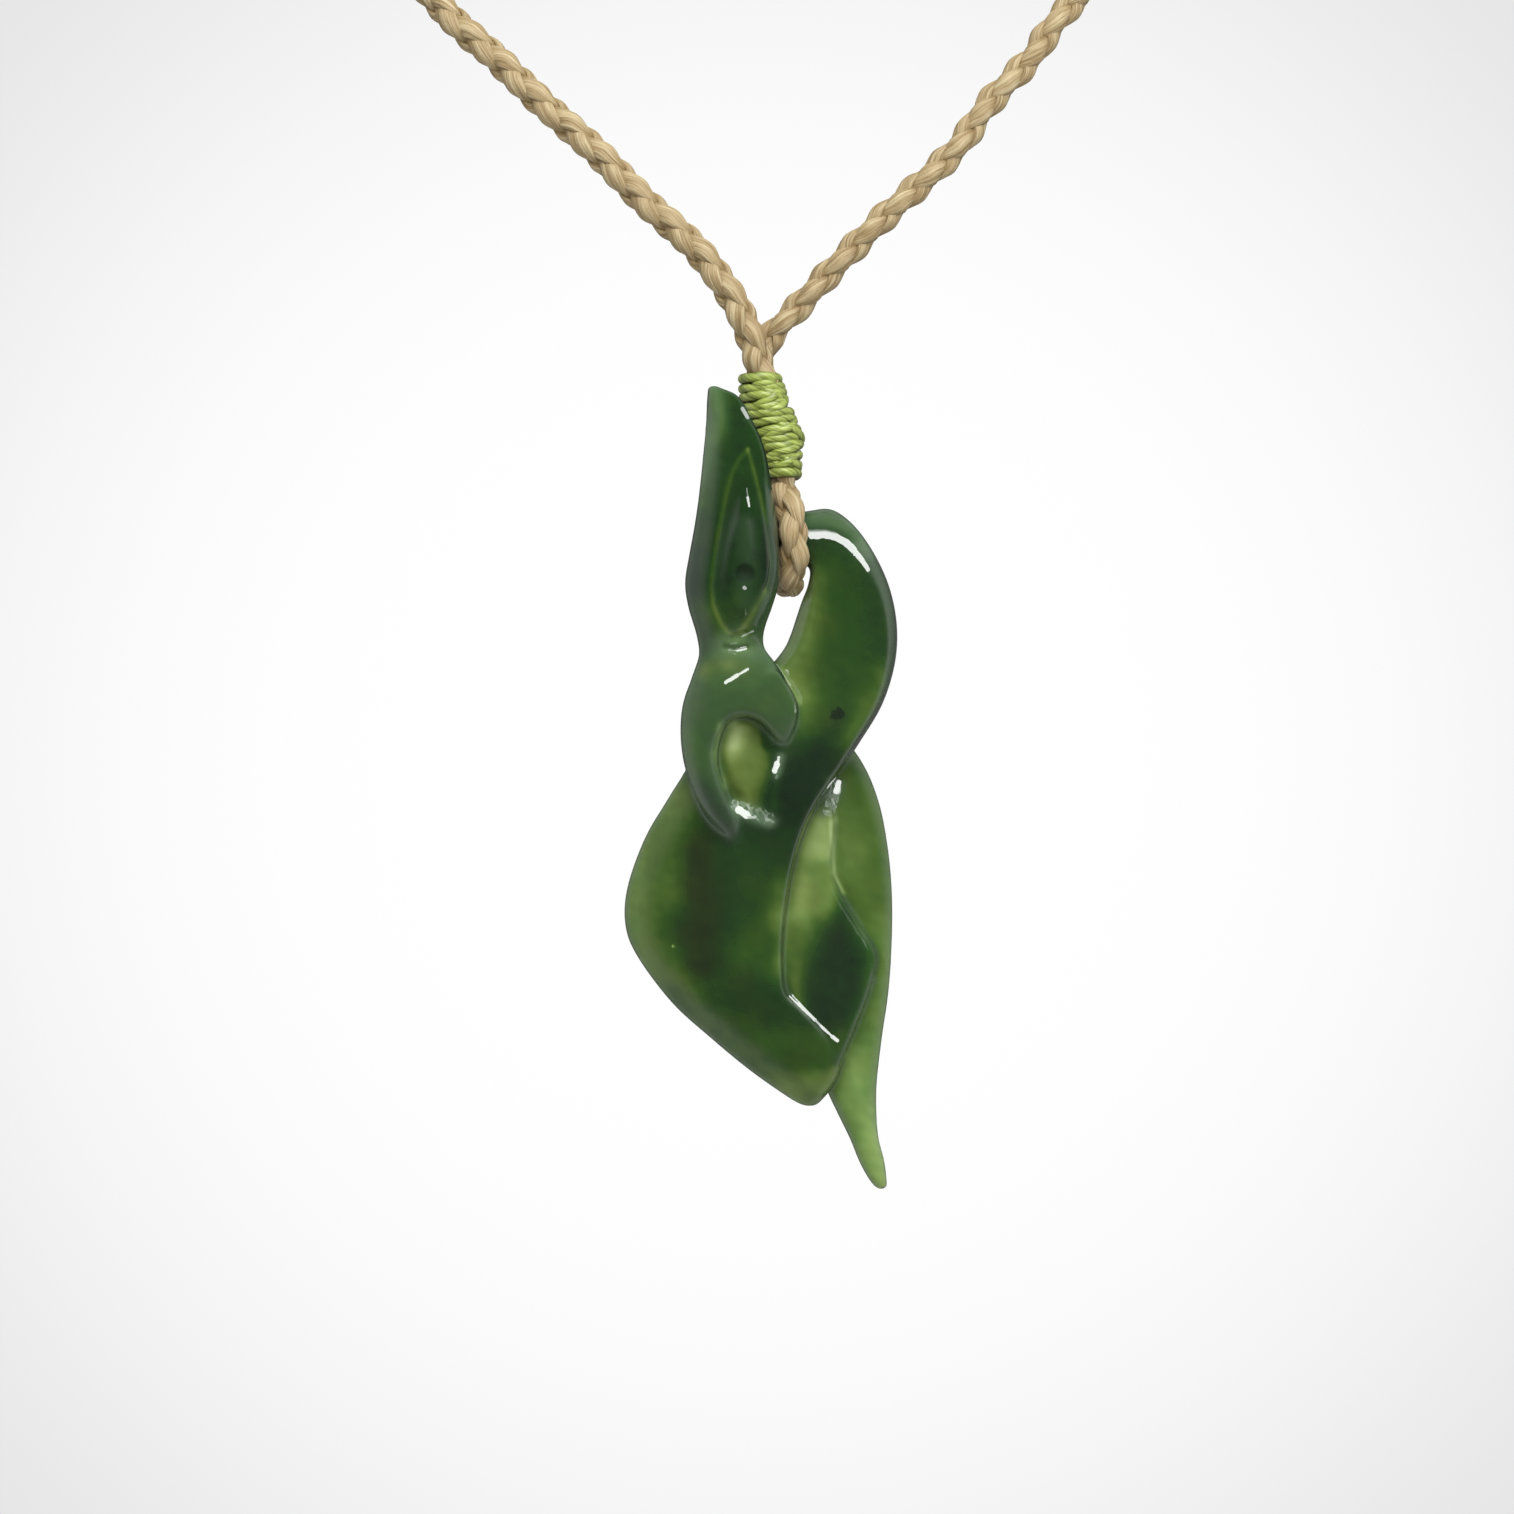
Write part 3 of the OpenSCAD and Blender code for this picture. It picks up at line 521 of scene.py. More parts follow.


# Colour of each form: lightness, warmth and milkiness of its ground, then the soft strokes laid over it in
# turn, each with the x and z of its points, its half width in mm, its own lightness and warmth, and 6 where
# its border is crisp
# Most strokes are the stone's own tone; the strokes marked below are painted light and shade
TINTS = {
    "head": (0.18, 0.03, 0, [
        ([(-4.9, 12.8), (-4.9, 9.5), (-5.5, 6.5), (-6.1, 3)], 1.1, 0.5, 0),
        ([(-4.5, 12), (-4.7, 9)], 1, 0.58, -0.1),
        ([(-6.5, -1.5), (-6.3, -5.5)], 1, 0.02, 0),
        ([(0.5, 0.5), (0.5, -4.5)], 0.8, 0, 0),
        ([(-4.8, -6.5), (-3.8, -8.6)], 1.4, 0.44, 0.3),
        ([(-3.5, -9.4), (-1.5, -9.4)], 1.2, 0.82, -0.3),
    ]),
    "field": (0.06, 0, -0.04, [
        # Grey sheen down the leaf's middle near the eye: painted sheen
        ([(-1.9, 3), (-1.7, -1), (-1.7, -5)], 1.1, 0.12, -0.2),
        ([(-2, -6), (-2.6, -7.5)], 1.3, 0.34, 0.2),
    ]),
    "hook": (0.37, 0.15, 0.19, [
        ([(-4.5, -10.5), (-2, -10.8)], 1.4, 0.48, 0.3),
        ([(-5.4, -11.8), (-4.6, -10.8), (-3.6, -11)], 0.9, 0.64, 0.95),
        ([(-6.8, -17), (-6.3, -21)], 0.8, 0.50, 0.1),
        ([(-5, -23), (-3, -26)], 1.7, 0.06, 0),
        ([(-3.6, -16.6), (-4.1, -18.6), (-3.4, -21.6)], 0.45, 0.85, 0.3),
        # Thin pale line along the hook's right edge: painted highlight
        ([(1.3, -11.5), (2.2, -12.9), (2.8, -14.8)], 0.22, 1.1, 0.4),
    ]),
    "ribbon": (0.14, 0.1, 0.02, [
        ([(-7.8, -22.3), (-9.4, -24.8), (-11.1, -28.7), (-12, -32.6), (-11.5, -35.3), (-9.4, -38.8),
          (-6.4, -42.5), (-3, -45.4), (0.4, -47.8), (3.4, -49.5)], 3, 0.7, 0.42),
        ([(-8.6, -26.5), (-8.3, -31.5)], 1.8, 0.54, 0.3),
        ([(-8.4, -40.5), (-6, -43), (-3, -45.6), (-0.4, -47.4)], 1.8, 0.42, 0.3),
        ([(-6.2, -28), (-5.8, -33), (-5.6, -37)], 1.8, 0.10, 0.7),
        ([(-1.8, -28.2), (-1.5, -33)], 2, 0.22, 0.1),
        ([(1.8, -30.5), (1.4, -37.5)], 1.6, 0.5, 0.35),
        ([(1.5, -33.8), (1.3, -36.8)], 1.4, 0.78, 0.4),
        ([(-0.2, -35.2), (-1.8, -36.4)], 1.9, 0.4, 0.2),
        ([(-3.5, -40.5), (1.5, -41.5)], 1.8, 0.20, 0.2),
        ([(0.6, -44.6), (3.2, -44.2), (5, -45)], 1.9, 0.42, 0.4),
        ([(2, -48.4), (4.6, -48)], 1.3, 0.70, 0.7),
        ([(5.9, -46.6), (4.8, -49)], 0.5, 0.9, 0.9),
        ([(6, -3.5), (7.5, -8), (8, -13)], 3.2, 0.30, 0),
        # Band on the loop's top bevel above its glint: painted reflection
        ([(4, 1.7), (5.6, 1.8), (7.6, 1), (8.8, -0.6)], 0.6, 0.36, 0),
        ([(3.2, -4), (2.6, -8)], 1.9, 0.78, 0.6),
        ([(2.6, -8), (2.2, -12), (2.6, -14.4)], 2.5, 0.7, 0.55),
        ([(10, -12.5), (9, -15), (7, -17.8)], 1.3, 0.52, 0.4),
        ([(4.8, -19.3), (2.8, -21.3), (1.5, -23.5)], 2.2, 0.00, 0),
        ([(-1.9, -18), (-1.6, -20), (-1, -22.2)], 1.9, 0.68, 0.8, 6),
        # The curl's top, lightened past the ramp's end against the hook's shade: own light tone and painted
        # light
        ([(-3.3, -16), (-2.6, -17), (-2.9, -18.6)], 1, 1.25, 0.8),
        # Dark patch beside the hook's right arm: painted shade
        ([(0.5, -16.2), (0.6, -17.9)], 1.15, 0.2, 0, 6),
        ([(0.9, -20), (0.5, -21.6), (0, -23.2)], 0.9, 0.12, 0),
        ([(-3.2, -20.8), (-2, -22.2)], 0.5, 0.45, 1),
    ]),
    "lobe": (0.05, 0, 0.03, [
        ([(4.4, -27), (3.2, -31.5), (2.6, -34)], 2.1, 0.84, 0.7),
        ([(5, -25), (4.6, -26.8)], 1.9, 1.08, 0.8),
        ([(2.3, -34.8), (2.6, -40.5)], 1.2, 0.56, 0.4),
        ([(5, -29.5), (5.2, -32.5)], 1.2, 0.72, 0.5),
        ([(8.4, -33.5), (9.2, -37), (8.4, -42), (7.2, -45.5)], 0.9, 0.42, 0),
        ([(6.6, -44.5), (5.6, -47.5)], 1.4, 0.38, 0.3),
        # Thin light line along the lobe's right edge: painted highlight
        ([(6.1, -25), (5.9, -29.5), (6.6, -31)], 0.3, 1.15, 0.7),
    ]),
    "tail": (0.68, 0.3, 0.03, [
        ([(7.8, -19.8), (8.6, -21.4)], 1.3, 0.45, 0.1),
        ([(7.6, -31), (8.2, -34)], 1.2, 0.55, 0.4),
        ([(8.8, -22.6), (9.9, -27), (10.2, -32)], 1.5, 0.56, 0.25),
        ([(8, -46), (9.2, -53)], 2, 0.86, 0.3),
        ([(9.7, -53.5), (10.2, -57)], 1.7, 0.96, 0.6),
    ]),
}

# Milky places on the front, and painted sheen, reflection and glint halos as marked: x and z of their
# points, half width in mm, and how milky they are
MILKY_AND_SHEEN = [
    # Grey on the head's upper left rim: painted reflection
    ([(-4.6, 13.2), (-5, 9.5), (-5.8, 5)], 1, 0.42),
    # Grey sheen down the leaf's middle: painted sheen
    ([(-1.7, 1), (-1.7, -5.5)], 1.1, 0.1),
    ([(-4.2, -9.9), (-2.6, -9.4), (-0.8, -9.9)], 1.2, 0.5),
    # Grey band on the loop's top bevel: painted reflection
    ([(4, 1.7), (5.6, 1.8), (7.6, 1), (9.2, -1.4)], 0.7, 0.32),
    # Soft halos round the glints by the hook's lower tip, at the crossing and below the hook's right tip:
    # painted highlight
    ([(-2.3, -23.6), (-1.4, -24.1), (0.1, -24.6)], 0.65, 0.85),
    ([(6.2, -21.6), (5.8, -22.9), (5.4, -24)], 0.5, 0.75),
    ([(1.1, -19.3), (0.85, -20.6)], 0.45, 0.7),
]
COLOUR_BLEND = 0.3  # mm over which the colours of two forms run into one another
DRIFT = 0.25  # mm by which a stroke's edge wanders
DRIFT_LENGTH = 4.0  # mm in which it does
LIGHT_CLOUDS = [(0.02, 2.6, 3), (0.015, 0.9, 4)]  # how strong they are, their length in mm, and a seed
WARM_CLOUDS = (0.12, 3.0, 5)
CUT_LIGHT, CUT_WARM = 0.3, 0.5  # of the cut lines
FRONT = 0.3  # y of a direction below which the surface counts as the front
PALE_RIM = 0.4  # share by which the lobe's painted rim shade and painted rim reflection are weaker than the others'
LIGHT_SCALE = 0.8  # of the material's lightness, so that strokes reach 1.25

# Small spots on the front: x, z and radius in mm, lightness, raggedness, and radii at which they end
SPOTS = [(6.15, -15.45, 0.42, -0.8, 0.45, 1.6), (-8.15, -35.8, 0.12, 0.8, 0, 1.5)]
SPOT_CORE = 0.5  # radii up to which they are full

# Places that are ground but not polished: x and z of their points, half width in mm, and how dull they are
DULL = [
    ([(-4.3, 13), (-2.5, 12)], 0.5, 1),
    ([(-2.8, 12.2), (-1.8, 10.8), (-1, 9.3), (-0.2, 7), (0.6, 4.4)], 0.55, 1),
    ([(-4.6, -11.9), (-3, -11), (-1.6, -10.3)], 0.6, 1),
    ([(-0.7, -10.8), (0.2, -10.8), (0.9, -12.4)], 0.85, 1),
    ([(-1.3, -12.9), (-0.5, -12.3)], 0.6, 1),
    ([(-3.2, -11.6), (-0.4, -11.5)], 0.9, 1),
    ([(-4, -12.6), (-1.6, -12.6)], 0.7, 1),
    ([(0.7, -11.6), (1.8, -12.8), (2.9, -15.2)], 0.8, 0.95),
    ([(5.2, -29.6), (6.6, -33), (8.4, -36.5)], 0.8, 0.95),
    ([(7.4, -29), (9.2, -34), (9.9, -38)], 0.6, 0.9),
    ([(3.9, 1.1), (5.3, 1.15), (6.6, 0.85), (7.7, 0.1)], 0.55, 1),
    ([(-1.65, 4.6), (-1.55, 2)], 0.6, 1),
    ([(-1.85, -2.8), (-1.85, -4.5)], 0.9, 1),
    ([(-3.4, -9.6), (-2.5, -9.8), (-1.3, -9.4)], 0.5, 1),
    ([(-2.4, -8.8), (-1.1, -8.2)], 0.4, 1),
]
BROAD = 1.0  # half width in mm, up to which the faces in a glint are split
FINE = 0.4  # and up to which they are split once more
SPLIT_SHARE, SPLIT_MORE = 1.2, 0.1  # they are split up to that share of its half width and so many mm more
SPLIT_BELOW = -0.1  # y of the direction below which they are split
STROKE_EDGE = (1.3, 0.8)  # shares of a stroke's half width between which it sets in
DULL_FACING = (0.3, 0.1)  # y of the direction between which a dull place sets in
GLINT_FACING = (-0.18, -0.34)
GLINT_RAGGED = (0.12, 0.6, 7)  # of a glint's edge: share of its half width, length in mm, and a seed
FLECK_EDGE = (-0.6, 0.0)  # heights of the waves between which a fleck sets in

# A surface that faces this way mirrors the overhead lamp
GLINT_WAY = unit(np.array([0.24, -1.0, 0.43]))

# Small facets of the polish that face that way: x and z of their points, half width in mm, how bright they
# are, and the length in mm of the flecks that break some of them up
GLINTS = [
    ([(-2.05, 11.1), (-1.85, 10.7), (-1.6, 10.3)], 0.16, 0.6),
    ([(-1.7, 4.1), (-1.55, 3.2)], 0.06, 0.3),
    ([(-1.6, 3.3), (-1.48, 2.55)], 0.09, 1),
    ([(-1.9, -4.5), (-1.85, -4.55)], 0.18, 0.5),
    ([(-1.8, -6.4), (-1.75, -6.85)], 0.07, 0.08),
    ([(-2.1, -8.7), (-1.15, -8.25)], 0.09, 0.3),
    ([(-3.25, -9.85), (-2.5, -9.85)], 0.1, 0.3),
    ([(-2.5, -9.85), (-1.8, -9.7)], 0.16, 1),
    ([(-3.05, -9.4), (-2.55, -9.25)], 0.07, 0.08),
    ([(-3.5, -12.7), (-2.5, -12.1)], 0.17, 1),
    ([(-2.5, -12.1), (-1.6, -11.55)], 0.1, 1),
    ([(-2.5, -23.5), (-1.6, -23.9), (0.2, -24.5)], 0.6, 0.1, 0.45),
    ([(-2.35, -23.8), (-1.7, -24.3)], 0.34, 1),
    ([(-1.5, -24.5), (-1, -24.45)], 0.12, 0.5),
    ([(-2.5, -23.1), (-2.45, -23.3)], 0.1, 0.3),
    ([(-1.65, -23.4), (-1.5, -23.7)], 0.1, 0.3),
    ([(0, -24.6), (0.25, -24.7)], 0.11, 0.25),
    ([(6.3, -21.4), (5.9, -22.8), (5.5, -24)], 0.5, 0.09, 0.7),
    ([(6.4, -21.5), (6.2, -22.2)], 0.28, 1),
    ([(5.85, -22.9), (5.95, -23.3)], 0.1, 0.3),
    ([(5.35, -24), (5.5, -24)], 0.09, 0.25),
    ([(4, 0.1), (5.1, 0.2), (6.1, 0), (7, -0.4), (7.7, -1)], 0.26, 1),
    ([(7.7, -1), (8.3, -1.75), (8.9, -2.8)], 0.17, 1),
    ([(1.1, -19.2), (1.05, -19.65)], 0.12, 0.8),
    ([(0.95, -19.75), (0.75, -20.4)], 0.26, 1),
    ([(0.95, -20.9), (0.9, -21)], 0.13, 0.08),
    ([(2.05, -40.2), (2.7, -40.8)], 0.09, 1),
    ([(2.8, -40.85), (4.3, -42.25)], 0.13, 1),
    ([(4.3, -42.25), (4.8, -42.75)], 0.08, 0.7),
    ([(4.8, -42.75), (5.8, -43.7)], 0.11, 1),
    ([(5.8, -43.7), (6.25, -44.05)], 0.17, 1),
    ([(0.9, -11.1), (2.05, -12.85), (2.55, -14.5), (2.55, -15.3)], 0.08, 0.22),
]


def paint(stone, forms, local, normal, shows):
    """Lightness, warmth, turn to the side (for the painted rim shade and painted rim reflection) and
    milkiness of the stone's surface at each point, as a colour attribute.
    """
    x, z = local[:, 0], local[:, 2]
    xw, zw = x + DRIFT * waviness(local, DRIFT_LENGTH, 1), z + DRIFT * waviness(local, DRIFT_LENGTH, 2)
    front = normal[:, 1] < FRONT
    away = np.array([sample(forms[name], local) for name in TINTS])
    share = np.exp(-(away - away.min(0)) / COLOUR_BLEND)
    share = share / share.sum(0)
    light, warm, milky_and_sheen = np.zeros((3, len(local)))
    for weight, (ground, warmth, milk, strokes) in zip(share, TINTS.values()):
        tone, hue = np.full(len(local), ground), np.full(len(local), warmth)
        for line, width, stroke_tone, stroke_hue, *crisp in strokes:
            part = bell(line_distance(xw, zw, line) / width, *crisp)
            tone = blend(tone, stroke_tone, part)
            hue = blend(hue, stroke_hue, part)
        light = light + weight * tone
        warm = warm + weight * hue
        milky_and_sheen = milky_and_sheen + weight * milk
    for line, width, milk in MILKY_AND_SHEEN:
        milky_and_sheen = blend(milky_and_sheen, milk, bell(line_distance(xw, zw, line) / width) * front)
    for strength, length, seed in LIGHT_CLOUDS:
        light = light + strength * waviness(local, length, seed)
    strength, length, seed = WARM_CLOUDS
    warm = np.clip(warm + strength * waviness(local, length, seed) + CUT_WARM * shows, 0, 1)
    light = light + CUT_LIGHT * shows
    for cx, cz, radius, lighter, rough, end in SPOTS:
        away = np.hypot(x - cx, z - cz) / radius + rough * waviness(local, 0.6, 6)
        light = light + lighter * smoothstep(end, SPOT_CORE, away) * front
    # Turn to the side, which the material paints as a grey rim reflection and a dark rim shade
    side = (1 - np.abs(normal[:, 1])) * (1 - PALE_RIM * share[list(TINTS).index("lobe")])
    set_attribute(stone, "stone", "FLOAT_COLOR", np.column_stack([LIGHT_SCALE * light, warm, side, milky_and_sheen]))


def near_glints(local, normal, widest):
    """Which points lie in or beside a glint on the front, of those up to some half width."""
    x, z = local[:, 0], local[:, 2]
    near = np.zeros(len(local), bool)
    for line, width, *_ in GLINTS:
        if width <= widest:
            near |= line_distance(x, z, line) < SPLIT_SHARE * width + SPLIT_MORE
    return near & (normal[:, 1] < SPLIT_BELOW)


def spread(piece, values, rounds=3):
    """Vectors at a mesh's points, each mixed with those of its neighbours a few times."""
    pairs = np.empty(2 * len(piece.data.edges), np.int32)
    piece.data.edges.foreach_get("vertices", pairs)
    a, b = pairs.reshape(-1, 2).T
    n = len(values)
    count = 1 + np.bincount(a, minlength=n)[:, None] + np.bincount(b, minlength=n)[:, None]
    for _ in range(rounds):
        near = [np.bincount(a, values[b, k], n) + np.bincount(b, values[a, k], n) for k in range(3)]
        values = (values + np.column_stack(near)) / count
    return values


def polish(stone, local):
    """Where the polish faces at each point, and how much it mirrors there, as attributes."""
    flat = np.empty(3 * len(local), np.float32)
    stone.data.vertex_normals.foreach_get("vector", flat)
    normal = spread(stone, flat.reshape(-1, 3).astype(float))
    x, z = local[:, 0], local[:, 2]
    ground = smoothstep(*DULL_FACING, normal[:, 1])
    facet = smoothstep(*GLINT_FACING, normal[:, 1])
    mirrors = np.ones(len(local))
    for line, width, share in DULL:
        part = smoothstep(*STROKE_EDGE, line_distance(x, z, line) / width) * ground
        mirrors = np.minimum(mirrors, 1 - share * part)
    turned = np.zeros(len(local))
    share, length, seed = GLINT_RAGGED
    ragged = share * waviness(local, length, seed)
    for line, width, bright, *flecks in GLINTS:
        part = smoothstep(*STROKE_EDGE, line_distance(x, z, line) / width + ragged) * facet
        for length in flecks:
            part = part * smoothstep(*FLECK_EDGE, waviness(local, length, 8))
        turned = np.maximum(turned, part)
        mirrors = blend(mirrors, bright, part)
    set_attribute(stone, "facing", "FLOAT_VECTOR", unit(blend(normal, GLINT_WAY, turned[:, None])))
    set_attribute(stone, "mirrors", "FLOAT", mirrors)


# Materials

def new_material(name):
    m = bpy.data.materials.new(name)
    m.use_nodes = True
    tree = m.node_tree
    return m, tree, tree.nodes["Principled BSDF"]


def feed(tree, n, inputs):
    for key, value in inputs.items():
        if hasattr(value, "links"):
            tree.links.new(value, n.inputs[key])
        else:
            n.inputs[key].default_value = value


def node(tree, kind, inputs=None, **settings):
    n = tree.nodes.new(kind)
    for key, value in settings.items():
        setattr(n, key, value)
    feed(tree, n, inputs or {})
    return n


def attribute(tree, name, output="Fac"):
    return node(tree, "ShaderNodeAttribute", attribute_name=name).outputs[output]


def maths(tree, operation, *values, **settings):
    return node(tree, "ShaderNodeMath", dict(enumerate(values)), operation=operation, **settings).outputs[0]


def noise(tree, place, scale, detail, roughness=0.5):
    inputs = {"Vector": place, "Scale": scale, "Detail": detail, "Roughness": roughness}
    return node(tree, "ShaderNodeTexNoise", inputs).outputs["Fac"]


def eased(tree, value, low, high, to_low, to_high):
    """Goes softly from to_low to to_high while a value goes from low to high."""
    inputs = {"Value": value, "From Min": low, "From Max": high, "To Min": to_low, "To Max": to_high}
    return node(tree, "ShaderNodeMapRange", inputs, interpolation_type="SMOOTHSTEP").outputs[0]


def mixed(tree, factor, a, b):
    inputs = {"Factor": factor, "A": a, "B": b}
    return node(tree, "ShaderNodeMix", inputs, data_type="RGBA").outputs["Result"]


def ramp(tree, factor, stops):
    """Colour along a factor, from stops with a place and the linear colour there."""
    n = node(tree, "ShaderNodeValToRGB", {"Fac": factor})
    while len(n.color_ramp.elements) < len(stops):
        n.color_ramp.elements.new(0.5)
    for element, (place, *colour) in zip(n.color_ramp.elements, stops):
        element.position = place
        element.color = colour
    return n.outputs["Color"]


def linear(r, g, b):
    """Linear colour, with alpha, of a screen colour whose parts are 11 to 255."""
    return (*(((c / 255 + 0.055) / 1.055) ** 2.4 for c in (r, g, b)), 1)


def screen_ramp(tree, factor, stops):
    return ramp(tree, factor, [(place, *linear(*colour)) for place, *colour in stops])


def finish(tree, shader, colour, height, roughness, strength, distance):
    """Colour, roughness and fine relief of a surface, with the relief's depth in metres."""
    bump = node(tree, "ShaderNodeBump", {"Height": height, "Strength": strength, "Distance": distance})
    feed(tree, shader, {"Base Color": colour, "Roughness": roughness, "Normal": bump.outputs["Normal"]})


def jade_material():
    m, tree, shader = new_material("jade")
    stone = node(tree, "ShaderNodeAttribute", attribute_name="stone")
    parts = node(tree, "ShaderNodeSeparateColor", {"Color": stone.outputs["Color"]})
    lightness, warmth, side = parts.outputs
    clouds = noise(tree, node(tree, "ShaderNodeTexCoord").outputs["Object"], 240.0, 5.0, 0.6)
    light = maths(tree, "MULTIPLY_ADD", maths(tree, "SUBTRACT", clouds, 0.5), 0.11, lightness)
    green = screen_ramp(tree, light, [
        (0.0, 18, 31, 19), (0.16, 25, 47, 21), (0.32, 34, 61, 22), (0.48, 54, 80, 32), (0.64, 76, 104, 52),
        (0.8, 106, 134, 74), (1.0, 134, 160, 98),
    ])
    olive = screen_ramp(tree, light, [
        (0.0, 26, 30, 18), (0.16, 36, 46, 20), (0.32, 50, 64, 24), (0.48, 74, 88, 38), (0.64, 96, 112, 58),
        (0.8, 118, 134, 78), (1.0, 150, 164, 112),
    ])
    colour = mixed(tree, warmth, green, olive)
    # Grey-green as the surface turns to the side is a painted reflection; the attribute's alpha adds the
    # milky places
    milk = maths(tree, "ADD", eased(tree, side, 0.08, 0.5, 0, 0.22), stone.outputs["Alpha"], use_clamp=True)
    with_milk_and_sheen = mixed(tree, milk, colour, linear(84, 102, 80))
    # Dark rim where the surface turns furthest to the side: painted shade
    with_painted_rim_shade = mixed(tree, eased(tree, side, 0.58, 0.92, 0, 0.88), with_milk_and_sheen, linear(22, 34, 22))
    level = maths(tree, "MULTIPLY", attribute(tree, "mirrors"), 0.5)
    turned = node(
        tree, "ShaderNodeVectorTransform", {"Vector": attribute(tree, "facing", "Vector")},
        vector_type="NORMAL", convert_from="OBJECT", convert_to="WORLD",
    )
    feed(tree, shader, {
        "Base Color": with_painted_rim_shade, "Roughness": 0.06, "IOR": 1.62, "Specular IOR Level": level,
        "Normal": turned.outputs[0],
    })
    return m


def fibre_material(name, stops, deep, **surface):
    """Cord or thread: streaks along its fibres, and a deep colour that paints shade where the points lie
    deep or tucked away.
    """
    m, tree, shader = new_material(name)
    streaks = noise(tree, attribute(tree, "fibre", "Vector"), 1.0, 5.0, 0.6)
    colour = mixed(tree, attribute(tree, "unshaded"), linear(*deep), screen_ramp(tree, streaks, stops))
    finish(tree, shader, colour, streaks, **surface)
    return m


def cord_material():
    stops = [(0.34, 112, 91, 56), (0.45, 138, 119, 84), (0.56, 153, 137, 103), (0.68, 170, 157, 124)]
    return fibre_material("cord", stops, (112, 90, 50), roughness=0.6, strength=0.8, distance=0.00015)


def thread_material():
    stops = [(0.3, 84, 100, 36), (0.5, 126, 140, 62), (0.7, 166, 178, 98)]
    return fibre_material("thread", stops, (44, 48, 12), roughness=0.34, strength=0.4, distance=0.0001)


def wood_material():
    m, tree, shader = new_material("closure_wood")
    place = node(tree, "ShaderNodeTexCoord").outputs["Object"]
    stretch = node(tree, "ShaderNodeMapping", {"Vector": place, "Scale": (60.0, 700.0, 700.0)})
    grain = noise(tree, stretch.outputs[0], 1.0, 6.0)
    colour = screen_ramp(tree, grain, [(0.3, 74, 44, 26), (0.55, 118, 74, 44), (0.75, 152, 102, 64)])
    finish(tree, shader, colour, grain, roughness=0.4, strength=0.3, distance=0.0001)
    return m


# Braid

STRANDS = 4
STRAND_SIDES = 44
YARNS = 3  # seen on a strand's outer side
YARN_GROOVE = 0.1  # of the strand's size
YARN_FULL = 1.02  # of it
YARN_GAP = 0.4  # sine of the angle that a groove is wide
YARN_WANDER = 0.2  # radians
YARN_WAVE = 0.8  # radians per mm
YARN_TWIST = 0.22  # radians per mm
BRAID_R = 0.6  # mm from the braid's middle line to a strand's, at its mean
BRAID_SWAP = 0.22  # mm that a strand moves out and in as it passes over and under
UNSHADED_LIFT = (0.64, 1.0)  # mm from the middle line between which a strand's painted shade, where it passes under, gives way
GROOVE_SHADE = 0.5  # share of painted shade in a yarn groove
FLANK_SHADE = 0.4  # and on a strand's edges, where it meets its neighbours
FLANK = (0.8, 1.0)  # sines of the angle between which that edge sets in
BEND_R = 0.9  # mm, the roundness that a strand's section bends to
STRAND_HALF_W, STRAND_HALF_T = 1.02, 0.44  # mm
STRAND_FLAT = 0.2  # share by which a strand is wider and thinner where it passes under
LINGER = 0.26  # how much a strand slows its way round the cord while it is on top
PITCH = (4.15, 3.65)  # mm from one bulge to the next, on the left and on the right leg
VIEW = (45, 0)  # degrees that the braid is turned round its line, seen from the front
FULL = (1.15, 1.05)  # size of the cord against the mean one, on those legs
LEG_HEIGHT = -118  # mm, where those turns are measured
CHANGE = 12  # mm of cord on each side of its lowest point in which one leg's braid becomes the other's
FINE_STEP = 0.3  # mm
COARSE_STEP = 0.7  # mm, above the height from which it is used
COARSE_HEIGHT = -96
ROUTE_STEPS = 60


def braid_path():
    """Points of the whole cord's middle line, closely spaced where the carving hangs."""
    right = np.array(NECK, float)
    left = right[::-1] * [-1, 1, 1]
    route = np.vstack([left, np.array(FORK) + HANG, right])
    dense = smooth_rows(route, ROUTE_STEPS)
    run = run_along(dense)
    stops = [0.0]
    while stops[-1] < run[-1]:
        z = np.interp(stops[-1], run, dense[:, 2])
        stops.append(stops[-1] + (FINE_STEP if z < COARSE_HEIGHT else COARSE_STEP))
    stops = np.array(stops[:-1] + [run[-1]])
    return np.column_stack([np.interp(stops, run, dense[:, a]) for a in range(3)]), stops


def carried_frame(path):
    """Tangent and a side direction that is carried along a path without twist."""
    tangent = unit(np.gradient(path, axis=0))
    side = np.zeros_like(path)
    s = np.array([0.0, -1.0, 0.0])
    for i, t in enumerate(tangent):
        s = s - (s @ t) * t
        s = s / np.linalg.norm(s)
        side[i] = s
    return tangent, side


def tube_faces(rings, sides):
    ends = [list(range(sides))[::-1], list(range((rings - 1) * sides, rings * sides))]
    return ring_quads(rings, sides).tolist() + ends


def fibre_place(along, lay, around):
    """Place in the streaks' pattern of points at some length along a fibre and some angle of its lay."""
    place = np.broadcast_arrays(along, around * np.cos(lay), around * np.sin(lay))
    return np.stack(place, -1).reshape(-1, 3)


def front_angle(path, side, other, leg):
    """Angle in the carried frame of the direction to the front, where one leg passes the leg height."""
    half = slice(len(path) // 2, None) if leg else slice(0, len(path) // 2)
    i = np.argmin(np.abs(path[half, 2] - LEG_HEIGHT)) + half.start
    return math.atan2(-other[i, 1], -side[i, 1])


